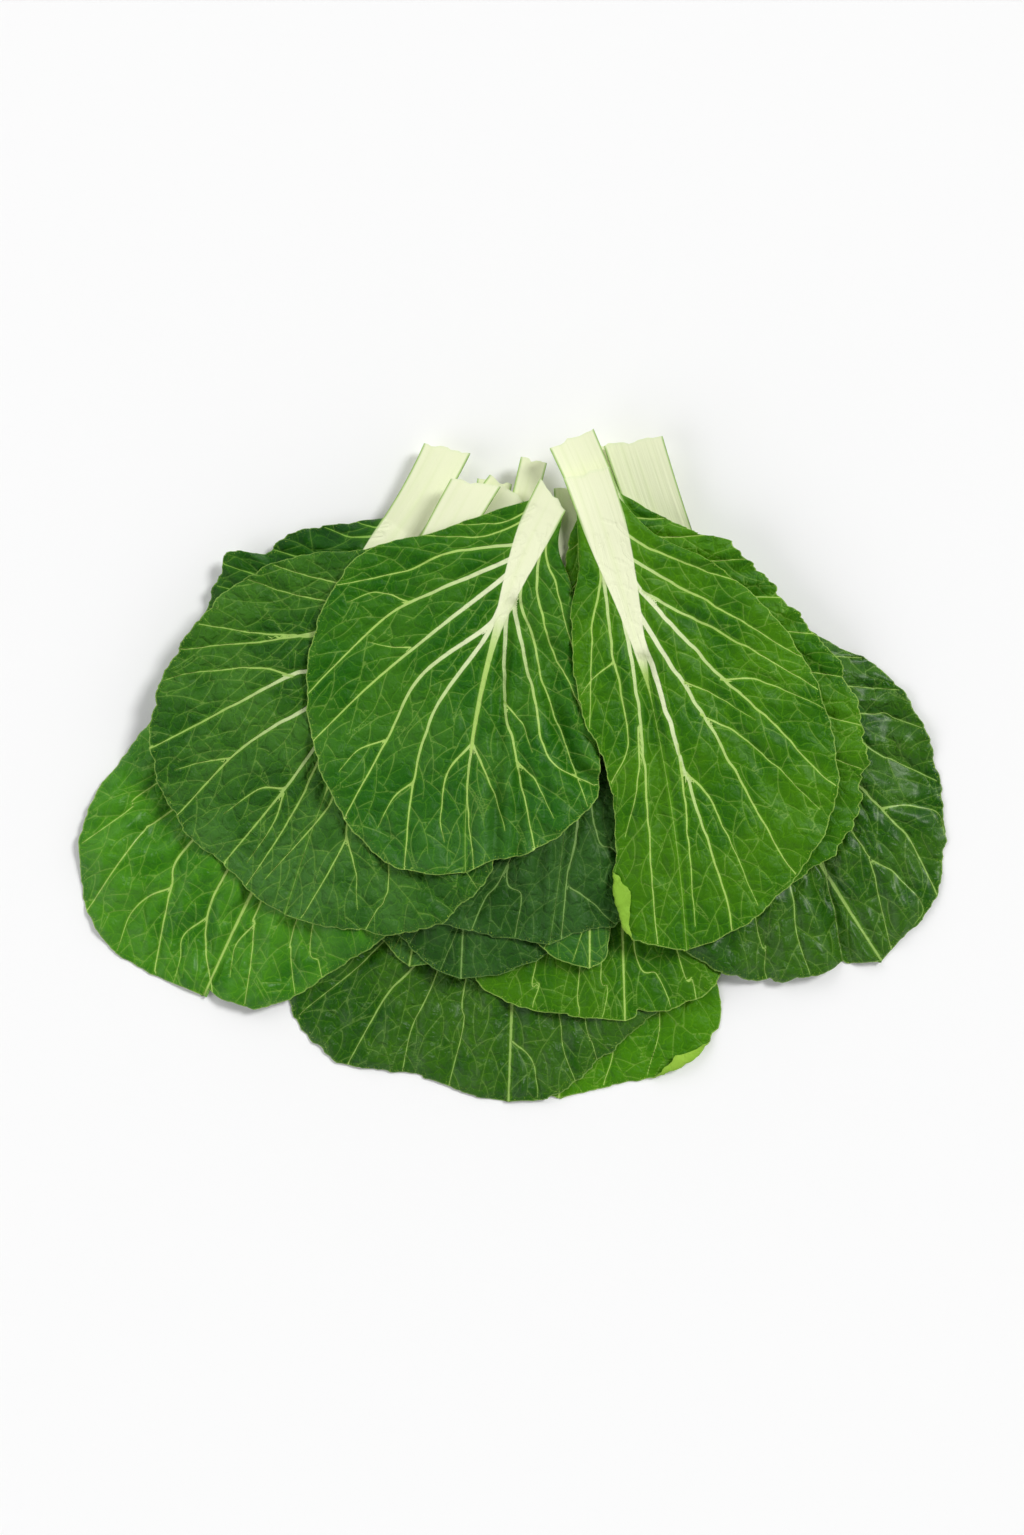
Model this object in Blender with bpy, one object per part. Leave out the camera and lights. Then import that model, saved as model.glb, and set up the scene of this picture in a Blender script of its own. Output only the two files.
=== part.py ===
"""Bok choy: the fourteen leaves of one head, cut from the base and laid as an overlapping fan. Metres, +Z up; the cut petioles meet at +Y, the blades spread towards -Y."""

import math
from dataclasses import dataclass

import bpy
import numpy as np

MM = 0.001
BLADE = 1.1  # thickness of a blade, mm
PETIOLE = 5.2  # thickness of a petiole at its cut end, mm
GAP = 0.45  # air left between one leaf and the next, mm
CELL = 1.0  # cell of the height map the leaves are laid on, mm
RIB_COLUMNS = 4  # cells across petiole and midrib
WING_COLUMNS = 4  # cells across each half of the blade
PETIOLE_ROWS = 4
BLADE_ROWS = 13
MIDDLE = (-1.29, -0.07)  # middle of the whole fan in the leaves' coordinates, mm
SAG = 0.12  # drop of a leaf at each step while it settles, mm
SETTLE_STEPS = 420

DARK, MID, LIGHT, PALE = (
    (0.022, 0.115, 0.018),
    (0.032, 0.160, 0.016),
    (0.060, 0.230, 0.015),
    (0.110, 0.300, 0.020),
)


@dataclass(frozen=True)
class Leaf:
    """One leaf, in mm and degrees. The margins are (fraction of the length, half width) from petiole to tip."""

    name: str
    base: tuple  # middle of the cut end
    length: float
    heading: tuple  # of the midrib at its base and at its tip; 0 is -Y, positive turns to +X
    start: float  # fraction of the length where the blade begins
    petiole: float  # half width at the cut end
    cut: float  # how much further along the right corner of the cut is than the left
    left: tuple
    right: tuple
    colour: tuple = DARK
    dome: float = 0.0  # rise of the middle of the blade over its margin
    wave: float = 0.0  # height of the waves at the margin
    waves: float = 3.0  # how many waves down each side
    flat: bool = False  # an underside that lies wholly on the surface


# From the lowest leaf to the topmost.
LEAVES = (
    Leaf("low_right", (41, 121), 283, (-2, -6), 0.25, 9, 0,
         ((0.40, 36), (0.60, 52), (0.80, 52), (0.90, 44), (0.96, 30), (0.985, 16)),
         ((0.36, 34), (0.50, 52), (0.64, 64), (0.76, 70), (0.83, 75), (0.89, 66), (0.93, 52), (0.955, 37), (0.975, 20)),
         LIGHT, flat=True),
    Leaf("low_centre", (7, 132), 295, (-2, -2), 0.25, 11, 0,
         ((0.36, 48), (0.50, 78), (0.64, 98), (0.76, 110), (0.85, 109), (0.92, 94), (0.95, 78), (0.955, 60), (0.965, 40), (0.99, 20)),
         ((0.36, 40), (0.50, 64), (0.64, 78), (0.76, 80), (0.84, 70), (0.90, 52), (0.925, 44), (0.96, 33), (0.99, 21)),
         DARK, dome=3, wave=1.0),
    Leaf("lower_right", (45, 157), 280, (1.7, 1.7), 0.25, 8, 0,
         ((0.36, 34), (0.50, 55), (0.66, 72), (0.80, 78), (0.90, 74), (0.95, 63), (0.975, 45), (0.99, 22)),
         ((0.36, 34), (0.50, 50), (0.64, 58), (0.78, 58), (0.88, 52), (0.95, 42), (0.975, 28), (0.99, 12)),
         LIGHT, dome=1, wave=1.2, waves=4),
    Leaf("far_right", (57, 158), 281, (17.6, 34), 0.20, 13.7, 4,
         ((0.30, 34), (0.42, 56), (0.55, 72), (0.68, 80), (0.80, 79), (0.87, 68), (0.92, 54), (0.95, 36), (0.975, 14)),
         ((0.30, 28), (0.38, 40), (0.46, 55), (0.54, 71), (0.64, 77), (0.74, 74), (0.84, 64), (0.92, 50), (0.97, 34), (0.985, 16)),
         DARK, dome=7, wave=1.5),
    Leaf("under_centre", (-10, 139), 239, (-10, -10), 0.25, 8, 0,
         ((0.40, 40), (0.60, 55), (0.80, 50), (0.90, 32), (0.96, 14), (0.985, 7)),
         ((0.40, 40), (0.60, 55), (0.80, 52), (0.92, 32), (0.98, 12)),
         MID, dome=1, wave=0.8),
    Leaf("under_left", (9, 149), 254, (-14, -2), 0.25, 6, 0,
         ((0.36, 26), (0.50, 42), (0.65, 48), (0.80, 45), (0.90, 36), (0.955, 22), (0.985, 12)),
         ((0.36, 26), (0.50, 42), (0.65, 52), (0.80, 56), (0.90, 50), (0.945, 41), (0.97, 30), (0.99, 17)),
         DARK, dome=1, wave=0.8),
    Leaf("under_right", (36, 121), 218, (0, 0), 0.25, 8, 0,
         ((0.40, 34), (0.60, 48), (0.80, 44), (0.90, 34), (0.96, 22), (0.985, 12)),
         ((0.35, 16), (0.50, 16), (0.70, 13), (0.90, 10), (0.975, 8)),
         LIGHT, dome=1, wave=0.6),
    Leaf("far_left", (-4, 135), 288, (-38, -24), 0.25, 10, 0,
         ((0.32, 36), (0.42, 60), (0.54, 77), (0.66, 84), (0.78, 90), (0.86, 86), (0.93, 74), (0.975, 60), (1.0, 38)),
         ((0.35, 34), (0.50, 58), (0.64, 69), (0.77, 67), (0.84, 56), (0.90, 47), (0.95, 37), (0.98, 27), (0.99, 13)),
         MID, dome=8, wave=1.2),
    Leaf("upper_left", (-33, 155), 182, (-25, -66), 0.25, 10.7, -5,
         ((0.31, 21), (0.38, 31), (0.45, 40), (0.56, 42), (0.65, 53), (0.74, 46), (0.84, 34), (0.93, 20), (0.98, 9)),
         ((0.35, 26), (0.50, 42), (0.65, 46), (0.80, 38), (0.92, 22), (0.98, 9)),
         DARK, dome=4, wave=2.2, waves=3.5),
    Leaf("centre", (28, 135), 221, (3, -9), 0.20, 9, 0,
         ((0.30, 34), (0.45, 55), (0.60, 64), (0.75, 68), (0.88, 66), (0.96, 60), (0.99, 52), (0.998, 36), (1.0, 18)),
         ((0.32, 28), (0.50, 42), (0.70, 46), (0.85, 43), (0.93, 33), (0.95, 20), (0.975, 9)),
         DARK, dome=2, wave=1.0),
    Leaf("mid_left", (-19, 137), 228, (-31, -17), 0.16, 10.7, -9,
         ((0.24, 34), (0.30, 57), (0.38, 75), (0.48, 87), (0.62, 94), (0.74, 90), (0.84, 75), (0.91, 54), (0.94, 34), (0.98, 18)),
         ((0.26, 30), (0.36, 52), (0.50, 72), (0.64, 84), (0.76, 88), (0.86, 80), (0.93, 69), (0.975, 50), (0.985, 34), (1.0, 18)),
         DARK, dome=2, wave=1.5, waves=4),
    Leaf("mid_right", (27, 158), 240, (24, 24), 0.14, 11, 0,
         ((0.25, 26), (0.35, 38), (0.50, 44), (0.65, 47), (0.80, 44), (0.90, 34), (0.97, 20)),
         ((0.26, 34), (0.31, 48), (0.40, 58), (0.52, 67), (0.64, 75), (0.78, 72), (0.88, 60), (0.95, 46), (0.985, 25)),
         MID, dome=2, wave=2.0, waves=5),
    Leaf("top_left", (18, 131), 188, (-28, 2), 0.04, 8.6, 8,
         ((0.10, 22), (0.20, 44), (0.30, 73), (0.45, 84), (0.60, 83), (0.75, 73), (0.88, 57), (0.97, 38), (1.0, 18)),
         ((0.12, 14), (0.20, 27), (0.35, 42), (0.50, 52), (0.65, 61), (0.78, 62), (0.88, 49), (0.95, 31), (0.97, 14)),
         MID, dome=1, wave=1.5, waves=4),
    Leaf("top_right", (34, 141), 235, (20, 4), 0.07, 10.7, 2,
         ((0.18, 18), (0.26, 27), (0.38, 33), (0.48, 34), (0.60, 28), (0.72, 28), (0.84, 31), (0.93, 29), (0.97, 22), (0.99, 11)),
         ((0.16, 22), (0.23, 41), (0.30, 55), (0.40, 70), (0.52, 80), (0.66, 83), (0.76, 77), (0.86, 59), (0.94, 36), (0.98, 17)),
         LIGHT, dome=1, wave=1.5, waves=4),
)


def smoothstep(low, high, x):
    t = np.clip((np.asarray(x, float) - low) / (high - low), 0, 1)
    return t * t * (3 - 2 * t)


class Midrib:
    """The middle line of a leaf: places, across directions and half widths by fraction of the length."""

    def __init__(self, leaf):
        self.leaf = leaf
        self.s = np.linspace(0, 1, 301)
        first, last = np.radians(leaf.heading)
        turn = first + (last - first) * self.s
        along = np.stack([np.sin(turn), -np.cos(turn)], 1)
        steps = (along[1:] + along[:-1]) / 2 * leaf.length / 300
        self.places = np.array(leaf.base, float) + np.concatenate([np.zeros((1, 2)), np.cumsum(steps, 0)])
        self.across = np.stack([-along[:, 1], along[:, 0]], 1)

    def at(self, s):
        return np.stack([np.interp(s, self.s, self.places[:, k]) for k in (0, 1)], -1)

    def side(self, s):
        return np.stack([np.interp(s, self.s, self.across[:, k]) for k in (0, 1)], -1)

    def half_width(self, s):
        start = self.leaf.start
        shrink = 1 - 0.88 * smoothstep(start, start + 0.42, s)
        return self.leaf.petiole * shrink * (1 - 0.5 * np.clip(s, 0, 1)) + 0.5

    def thickness(self, s):
        """Of the leaf along its middle line."""
        return BLADE + (PETIOLE - BLADE) * (1 - smoothstep(0.0, self.leaf.start + 0.45, s))


def smooth_curve(points, steps=14):
    """A Catmull-Rom curve through points, as many small chords."""
    padded = np.concatenate([[2 * points[0] - points[1]], points, [2 * points[-1] - points[-2]]])
    out = [points[:1]]
    t = np.linspace(0, 1, steps + 1)[1:, None]
    for a, b, c, d in zip(padded[:-3], padded[1:-2], padded[2:-1], padded[3:]):
        out.append(0.5 * (2 * b + (c - a) * t + (2 * a - 5 * b + 4 * c - d) * t**2 + (3 * b - a - 3 * c + d) * t**3))
    return np.concatenate(out)


def margin(rib, side):
    """One margin, as a function of the share of its own length."""
    leaf = rib.leaf
    rows = ((leaf.start, float(rib.half_width(leaf.start))),) + (leaf.right if side > 0 else leaf.left) + ((1.0, 0.0),)
    s, w = np.array(rows, float).T
    curve = smooth_curve(rib.at(s) + side * w[:, None] * rib.side(s))
    travelled = np.concatenate([[0], np.cumsum(np.linalg.norm(np.diff(curve, axis=0), axis=1))])
    return lambda share: np.stack([np.interp(share * travelled[-1], travelled, curve[:, k]) for k in (0, 1)], -1)


def plan(leaf):
    """The leaf seen from above: places, the undersides' natural heights, thicknesses and triangles."""
    rib = Midrib(leaf)
    margins = {side: margin(rib, side) for side in (-1, 1)}
    places, heights, thick = [], [], []
    rows = PETIOLE_ROWS + BLADE_ROWS
    for row in range(rows + 1):
        v = max(0.0, (row - PETIOLE_ROWS) / BLADE_ROWS)
        v = 1 - (1 - v) ** 1.15
        s = leaf.start + (1 - leaf.start) * v**1.2
        if row < PETIOLE_ROWS:
            s = leaf.start * row / PETIOLE_ROWS
        half = float(rib.half_width(s)) if row < rows else 0.0
        middle, across = rib.at(s), rib.side(s)
        along = np.array([across[1], -across[0]])
        tall = float(rib.thickness(s))
        hollow = 1 - smoothstep(leaf.start * 0.6, leaf.start + 0.35, s)
        swell = 0.35 * (tall - BLADE)
        for k in range(-RIB_COLUMNS // 2 - WING_COLUMNS, RIB_COLUMNS // 2 + WING_COLUMNS + 1):
            side = -1 if k < 0 else 1
            inner = min(abs(k), RIB_COLUMNS // 2) / (RIB_COLUMNS / 2)
            outer = max(0, abs(k) - RIB_COLUMNS // 2) / WING_COLUMNS
            place = middle + side * inner * half * across
            place = place + along * leaf.cut * side * inner * 0.5 * max(0.0, 1 - s / leaf.start)
            if row >= PETIOLE_ROWS:
                place = place + (margins[side](v) - place) * outer
            edge = outer if row > PETIOLE_ROWS else 0.0
            dome = leaf.dome * (1 - edge**2) * math.sin(math.pi * min(1.0, 0.12 + 0.88 * v)) ** 0.7
            ripple = leaf.wave * edge**2 * math.sin(2 * math.pi * (leaf.waves * v + 0.2 * side)) * min(1.0, 3 * (1 - v))
            # a petiole is hollow above and rounded beneath; the midrib stands out under the blade
            bulge = -swell * (1 - inner**2) - (swell if outer == 0 else swell * max(0.0, 1 - 3 * edge)) * 0.2
            rim = 1.3 * hollow * inner**2 * (1 - edge)
            natural = 0.0 if leaf.flat else dome + ripple + bulge
            depth = BLADE + (tall - BLADE) * (1 - 0.45 * inner**2) * (1 - min(1.0, 3 * edge)) + rim * (1 - min(1.0, 2 * edge))
            places.append(place)
            heights.append(natural)
            thick.append(depth)
    places, heights, thick = np.array(places), np.array(heights), np.array(thick)
    columns = RIB_COLUMNS + 2 * WING_COLUMNS + 1
    triangles = []
    for row in range(rows):
        for column in range(columns - 1):
            a = row * columns + column
            b, c, d = a + 1, a + columns + 1, a + columns
            if column >= columns // 2:
                triangles += [(a, d, b), (b, d, c)]
            else:
                triangles += [(a, d, c), (a, c, b)]
    return weld(places, heights, thick, np.array(triangles))


def weld(places, heights, thick, triangles):
    """Columns that meet in one place made one, and the triangles they close dropped."""
    _, first, index = np.unique(np.round(places / 0.01).astype(int), axis=0, return_index=True, return_inverse=True)
    triangles = index.reshape(-1)[triangles]
    whole = (triangles[:, 0] != triangles[:, 1]) & (triangles[:, 1] != triangles[:, 2]) & (triangles[:, 0] != triangles[:, 2])
    places, heights, thick, triangles = places[first], heights[first], thick[first], triangles[whole]
    a, b, c = (places[triangles[:, k]] for k in range(3))
    turn = (b[:, 0] - a[:, 0]) * (c[:, 1] - a[:, 1]) - (b[:, 1] - a[:, 1]) * (c[:, 0] - a[:, 0])
    triangles[turn < 0] = triangles[turn < 0][:, ::-1]
    return places, heights, thick, triangles


class Ground:
    """The heights of everything laid so far, over a grid of cells."""

    def __init__(self):
        self.low = np.array([-260.0, -220.0])
        self.heights = np.zeros((520, 460))

    def cells(self, points):
        cell = ((points - self.low) / CELL).astype(int)
        return cell[:, 0], cell[:, 1]

    def add(self, points, heights):
        np.maximum.at(self.heights, self.cells(points), heights)

    def under(self, points):
        tall = self.heights
        for axis in (0, 1):
            tall = np.maximum(tall, np.maximum(np.roll(tall, 1, axis), np.roll(tall, -1, axis)))
        return tall[self.cells(points)]


def samples(places, triangles, spacing):
    """Points spread over triangles: (their triangle, their weights)."""
    a, b, c = (places[triangles[:, k]] for k in range(3))
    longest = np.sqrt(np.max([((a - b) ** 2).sum(1), ((b - c) ** 2).sum(1), ((c - a) ** 2).sum(1)], axis=0))
    owner, weights = [], []
    for count in np.unique(np.maximum(1, np.ceil(longest / spacing)).astype(int)):
        chosen = np.nonzero(np.maximum(1, np.ceil(longest / spacing)).astype(int) == count)[0]
        i, j = np.meshgrid(np.arange(count + 1), np.arange(count + 1), indexing="ij")
        inside = i + j <= count
        one = np.stack([i[inside], j[inside], count - i[inside] - j[inside]], 1) / count
        owner.append(np.repeat(chosen, len(one)))
        weights.append(np.tile(one, (len(chosen), 1)))
    return np.concatenate(owner), np.concatenate(weights)


def lay(leaf, ground):
    """Lets a leaf sink on what lies beneath it, keeping its own shape where nothing holds it up."""
    places, natural, thick, triangles = plan(leaf)
    owner, weights = samples(places, triangles, CELL)
    corners = triangles[owner]
    points = (places[corners] * weights[:, :, None]).sum(1)
    support = ground.under(points)
    floor = np.where(support > 0, support + GAP, 0.0)
    if leaf.flat:
        bottom = np.zeros(len(places))
    else:
        ends = np.unique(np.sort(np.concatenate([triangles[:, [0, 1]], triangles[:, [1, 2]], triangles[:, [2, 0]]]), axis=1), axis=0)
        pull = 1 / np.maximum(1.0, np.linalg.norm(places[ends[:, 0]] - places[ends[:, 1]], axis=1))
        total = np.bincount(ends.reshape(-1), weights=np.repeat(pull, 2), minlength=len(places))

        def neighbours(values):
            out = np.bincount(ends[:, 0], weights=pull * values[ends[:, 1]], minlength=len(places))
            return (out + np.bincount(ends[:, 1], weights=pull * values[ends[:, 0]], minlength=len(places))) / total

        def lifted(rise, share):
            short = floor - ((natural + rise)[corners] * weights).sum(1)
            low = short > 0
            push = np.zeros(len(places))
            amount = short[low, None] * weights[low] / (weights[low] ** 2).sum(1, keepdims=True)
            np.maximum.at(push, corners[low].reshape(-1), amount.reshape(-1))
            return rise + push * share, low.any()

        rise = np.full(len(places), float((floor - (natural[corners] * weights).sum(1)).max()))
        for _ in range(SETTLE_STEPS):
            stiff = neighbours(neighbours(rise))
            rise = rise + 0.5 * (stiff - rise) - SAG
            rise, _ = lifted(rise, 1.0)
        touching = True
        while touching:
            rise, touching = lifted(rise, 1.02)
        bottom = natural + rise
    top = bottom + thick
    owner, weights = samples(places, triangles, CELL * 0.6)
    corners = triangles[owner]
    ground.add((places[corners] * weights[:, :, None]).sum(1), (top[corners] * weights).sum(1))
    return places, bottom, top, triangles


def finish(leaf):
    material = bpy.data.materials.new(f"{leaf.name}_leaf")
    material.use_nodes = True
    shader = material.node_tree.nodes["Principled BSDF"]
    shader.inputs["Base Color"].default_value = (*leaf.colour, 1.0)
    shader.inputs["Roughness"].default_value = 0.45
    shader.inputs["Metallic"].default_value = 0.0
    return material


def solid(leaf, places, bottom, top, triangles):
    """The leaf as one closed body: its upper face, its underside and the edge between them."""
    count, places = len(places), places - np.array(MIDDLE)
    ends = np.concatenate([triangles[:, [0, 1]], triangles[:, [1, 2]], triangles[:, [2, 0]]])
    codes = ends[:, 0] * count + ends[:, 1]
    open_ends = ends[~np.isin(codes, ends[:, 1] * count + ends[:, 0])]
    faces = [tuple(int(k) for k in t) for t in triangles]
    faces += [tuple(int(k) + count for k in t[::-1]) for t in triangles]
    for a, b in open_ends:
        faces += [(int(b), int(a), int(a) + count), (int(b), int(a) + count, int(b) + count)]
    points = np.concatenate([np.column_stack([places, top]), np.column_stack([places, bottom])]) * MM
    mesh = bpy.data.meshes.new(leaf.name)
    mesh.from_pydata([tuple(float(x) for x in p) for p in points], [], faces)
    mesh.materials.append(finish(leaf))
    made = bpy.data.objects.new(leaf.name, mesh)
    bpy.context.scene.collection.objects.link(made)
    return made


def main():
    for old in list(bpy.data.objects):
        bpy.data.objects.remove(old, do_unlink=True)
    ground = Ground()
    for leaf in LEAVES:
        solid(leaf, *lay(leaf, ground))


main()
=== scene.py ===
"""The looks of fourteen bok choy leaves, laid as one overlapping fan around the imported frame.

Every leaf is one closed shell with its own veins, quilting and margin. The leaves are laid from the
lowest to the topmost, and each one settles on the leaves beneath it.
Lengths are in millimetres until a mesh is written. Places along a leaf are fractions of its length,
and places on a margin are shares of that margin's own length.
"""

import logging
import math
from dataclasses import dataclass, field
from enum import Enum

import bmesh
import bpy
import numpy as np
from mathutils.kdtree import KDTree
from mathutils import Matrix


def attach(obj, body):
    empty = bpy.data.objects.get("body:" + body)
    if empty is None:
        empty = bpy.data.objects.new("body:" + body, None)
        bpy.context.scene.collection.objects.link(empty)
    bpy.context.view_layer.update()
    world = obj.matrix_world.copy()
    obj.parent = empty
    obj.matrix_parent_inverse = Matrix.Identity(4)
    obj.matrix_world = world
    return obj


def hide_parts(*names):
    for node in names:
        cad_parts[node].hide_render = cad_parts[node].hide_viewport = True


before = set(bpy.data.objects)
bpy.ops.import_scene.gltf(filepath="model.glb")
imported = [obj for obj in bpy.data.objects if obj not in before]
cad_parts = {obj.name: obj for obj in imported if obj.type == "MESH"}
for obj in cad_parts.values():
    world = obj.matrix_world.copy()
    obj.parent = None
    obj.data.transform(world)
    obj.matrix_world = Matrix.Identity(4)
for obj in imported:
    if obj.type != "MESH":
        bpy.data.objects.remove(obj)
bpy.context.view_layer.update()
LOG = logging.getLogger("bok_choy")

MM = 0.001
Pair = tuple[float, float]
Path = tuple[Pair, ...]
Colour = tuple[float, float, float]

MIDDLE = (-1.29, -0.07)  # middle of the whole fan in the leaves' coordinates
BLADE = 0.6  # thickness of a blade between its veins
RIB_SHEET = 1.1  # thickness from which a midrib begins to stand out
PETIOLE = 5.2  # thickness of a petiole at its cut end
GAP = 0.25  # air left between one leaf and the next
RIB_CELLS = 6  # cells on each side of the middle line, across petiole and midrib
SAG = 0.0036  # how strongly a leaf hangs between the places that hold it up, per mm
VEIN_STEP = 0.5  # distance between the points that stand for a vein
RULED_SHARES = (0.09, 0.18, 0.27, 0.36, 0.45, 0.54, 0.63, 0.72, 0.80, 0.88, 0.95)  # where ruled side veins may end
CROWDED = 4.5  # distance to another side vein below which a ruled one runs too close
TWIG_GENERATIONS = ((15.0, 48.0), (12.0, 58.0))  # distance between twigs, and their angle in degrees
LEAF_SEED = 4100  # of the lowest leaf's waves and hills; each next leaf adds one
TWIG_SEED = 900  # of the lowest leaf's twigs
HILL_LENGTH = 64  # from one broad hill of a blade to the next
HILL_RISE = 1.2  # height of a hill where a leaf's roll is one
QUILT_RISE = 1.45  # height of the quilting between side veins where a leaf's quilt is one
QUILT_REACH = 5.0  # distance from a side vein over which it rises
TWIG_QUILT = 0.22  # the same height between twigs
TWIG_REACH = 1.8  # and the distance
EDGE_RISE = 1.3  # height of a petiole's two raised edges
RIDGE = 0.9  # thickness that a side vein adds, for each unit of its half width
LOWEST = 0.02  # nothing reaches further down than this
SEAM = 0.00001  # distance within which a shell's corners are one, in metres
CREST = 65  # angle above which an edge looks sharp, in degrees


class Side(Enum):
    """The two halves of a leaf, seen from above with its tip towards -Y."""

    LEFT = -1
    RIGHT = 1


L, R = Side.LEFT, Side.RIGHT


def smoothstep(low: float, high: float, x: np.ndarray | float) -> np.ndarray:
    """Rises softly from 0 at low to 1 at high.

    Args:
        low: Where the rise begins.
        high: Where it ends.
        x: The values to place on it.

    Returns:
        The height of the rise at each value.
    """
    t = np.clip((np.asarray(x, float) - low) / (high - low), 0, 1)
    return t * t * (3 - 2 * t)


def smooth_curve(points: np.ndarray, steps: int = 14) -> np.ndarray:
    """Draws a Catmull-Rom curve through points.

    Args:
        points: The places it passes, one row each.
        steps: Chords between one place and the next.

    Returns:
        The curve's own places.
    """
    padded = np.concatenate([[2 * points[0] - points[1]], points, [2 * points[-1] - points[-2]]])
    out = [points[:1]]
    t = np.linspace(0, 1, steps + 1)[1:, None]
    for a, b, c, d in zip(padded[:-3], padded[1:-2], padded[2:-1], padded[3:]):
        out.append(0.5 * (2 * b + (c - a) * t + (2 * a - 5 * b + 4 * c - d) * t**2 + (3 * b - a - 3 * c + d) * t**3))
    return np.concatenate(out)


def evenly(points: np.ndarray, step: float) -> np.ndarray:
    """Walks a polyline in even steps.

    Args:
        points: The polyline.
        step: The distance between the places wanted.

    Returns:
        Places a step apart, with both ends kept.
    """
    travelled = np.concatenate([[0], np.cumsum(np.linalg.norm(np.diff(points, axis=0), axis=1))])
    wanted = np.linspace(0, travelled[-1], max(2, int(travelled[-1] / step) + 1))
    return np.stack([np.interp(wanted, travelled, points[:, k]) for k in (0, 1)], -1)


def wander(x: np.ndarray, rng: np.random.Generator, pace: float) -> np.ndarray:
    """Makes a smooth irregular line with heights of about one.

    Args:
        x: Where it is wanted.
        rng: The seeded source of its phases.
        pace: Waves for each unit of x.

    Returns:
        The heights.
    """
    out = np.zeros_like(x, dtype=float)
    for factor, weight in ((1.0, 0.6), (1.73, 0.4), (2.91, 0.25)):
        out += weight * np.sin(2 * math.pi * pace * factor * rng.uniform(0.9, 1.1) * x + rng.uniform(0, 2 * math.pi))
    return out


def rolling(places: np.ndarray, rng: np.random.Generator, length: float) -> np.ndarray:
    """Makes a smooth hilly ground with heights of about one.

    Args:
        places: Where it is wanted, with x and y last.
        rng: The seeded source of its hills.
        length: From one hill to the next.

    Returns:
        The heights.
    """
    out = np.zeros(places.shape[:-1])
    for _ in range(9):
        angle, phase, pace = rng.uniform(0, 2 * math.pi), rng.uniform(0, 2 * math.pi), rng.uniform(0.7, 1.5)
        out += np.sin(
            2 * math.pi * pace / length * (places[..., 0] * math.cos(angle) + places[..., 1] * math.sin(angle)) + phase
        )
    return out / 3


def blur(values: np.ndarray, rounds: int) -> np.ndarray:
    """Softens a grid of values.

    Args:
        values: The grid.
        rounds: How many times each value is mixed with its neighbours.

    Returns:
        The softened grid.
    """
    for _ in range(rounds):
        for axis in (0, 1):
            pad = np.concatenate([values.take([0], axis), values, values.take([-1], axis)], axis)
            n = values.shape[axis]
            values = 0.25 * pad.take(range(n), axis) + 0.5 * values + 0.25 * pad.take(range(2, n + 2), axis)
    return values


def widest(values: np.ndarray, reach: int) -> np.ndarray:
    """Spreads each high value over its surroundings.

    Args:
        values: The grid.
        reach: How many cells it spreads each way.

    Returns:
        The highest value within reach of each cell.
    """
    for _ in range(reach):
        for axis in (0, 1):
            pad = np.concatenate([values.take([0], axis), values, values.take([-1], axis)], axis)
            n = values.shape[axis]
            values = np.maximum(values, np.maximum(pad.take(range(n), axis), pad.take(range(2, n + 2), axis)))
    return values


def distance_to_path(places: np.ndarray, path: np.ndarray) -> np.ndarray:
    """Measures how far places are from a polyline.

    Args:
        places: Any grid of places, with x and y last.
        path: The polyline.

    Returns:
        The distances.
    """
    best = np.full(places.shape[:-1], 1e9)
    for a, b in zip(path[:-1], path[1:]):
        chord = b - a
        t = np.clip(((places - a) @ chord) / max(chord @ chord, 1e-9), 0, 1)
        best = np.minimum(best, np.linalg.norm(places - a - t[..., None] * chord, axis=-1))
    return best


@dataclass(frozen=True)
class Lateral:
    """One side vein of a leaf.

    Attributes:
        side: The half of the blade it lies in.
        origin: Where it leaves the midrib, or None for one that begins at its first place.
        through: Places it passes, as fraction of the length and distance from the middle line.
        share: Where it meets the margin, or None for one that ends at its last place.
        weight: How stout it is.
    """

    side: Side
    origin: float | None
    through: Path = ()
    share: float | None = None
    weight: float = 0.8


@dataclass(frozen=True)
class Fold:
    """A strip of margin rolled over onto the blade, so that its underside shows.

    Attributes:
        side: The half of the blade.
        first: Share of the margin where it begins.
        last: Share where it ends.
        depth: Its greatest width.
        radius: Of the roll.
        lean: Where along it the greatest width lies, from 0 to 1.
    """

    side: Side
    first: float
    last: float
    depth: float
    radius: float = 1.3
    lean: float = 0.5


@dataclass(frozen=True)
class Notch:
    """A small tear or bite in a margin.

    Attributes:
        side: The half of the blade.
        share: Share of the margin where it lies.
        depth: How far it goes in.
        spread: How wide it is.
    """

    side: Side
    share: float
    depth: float
    spread: float = 3.0


@dataclass(frozen=True)
class Crease:
    """A valley along a path on the blade; a ridge where its depth is negative.

    Attributes:
        path: Places it passes, as fraction of the length and distance from the middle line.
        depth: Of its bottom.
        width: From its bottom to its slope.
    """

    path: Path
    depth: float
    width: float


@dataclass(frozen=True)
class Lift:
    """A stretch of margin that stands up or bends down.

    Attributes:
        side: The half of the blade.
        share: Share of the margin where it is highest.
        spread: Share over which it fades.
        height: Of its highest place; negative where it bends down.
    """

    side: Side
    share: float
    spread: float
    height: float


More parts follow.
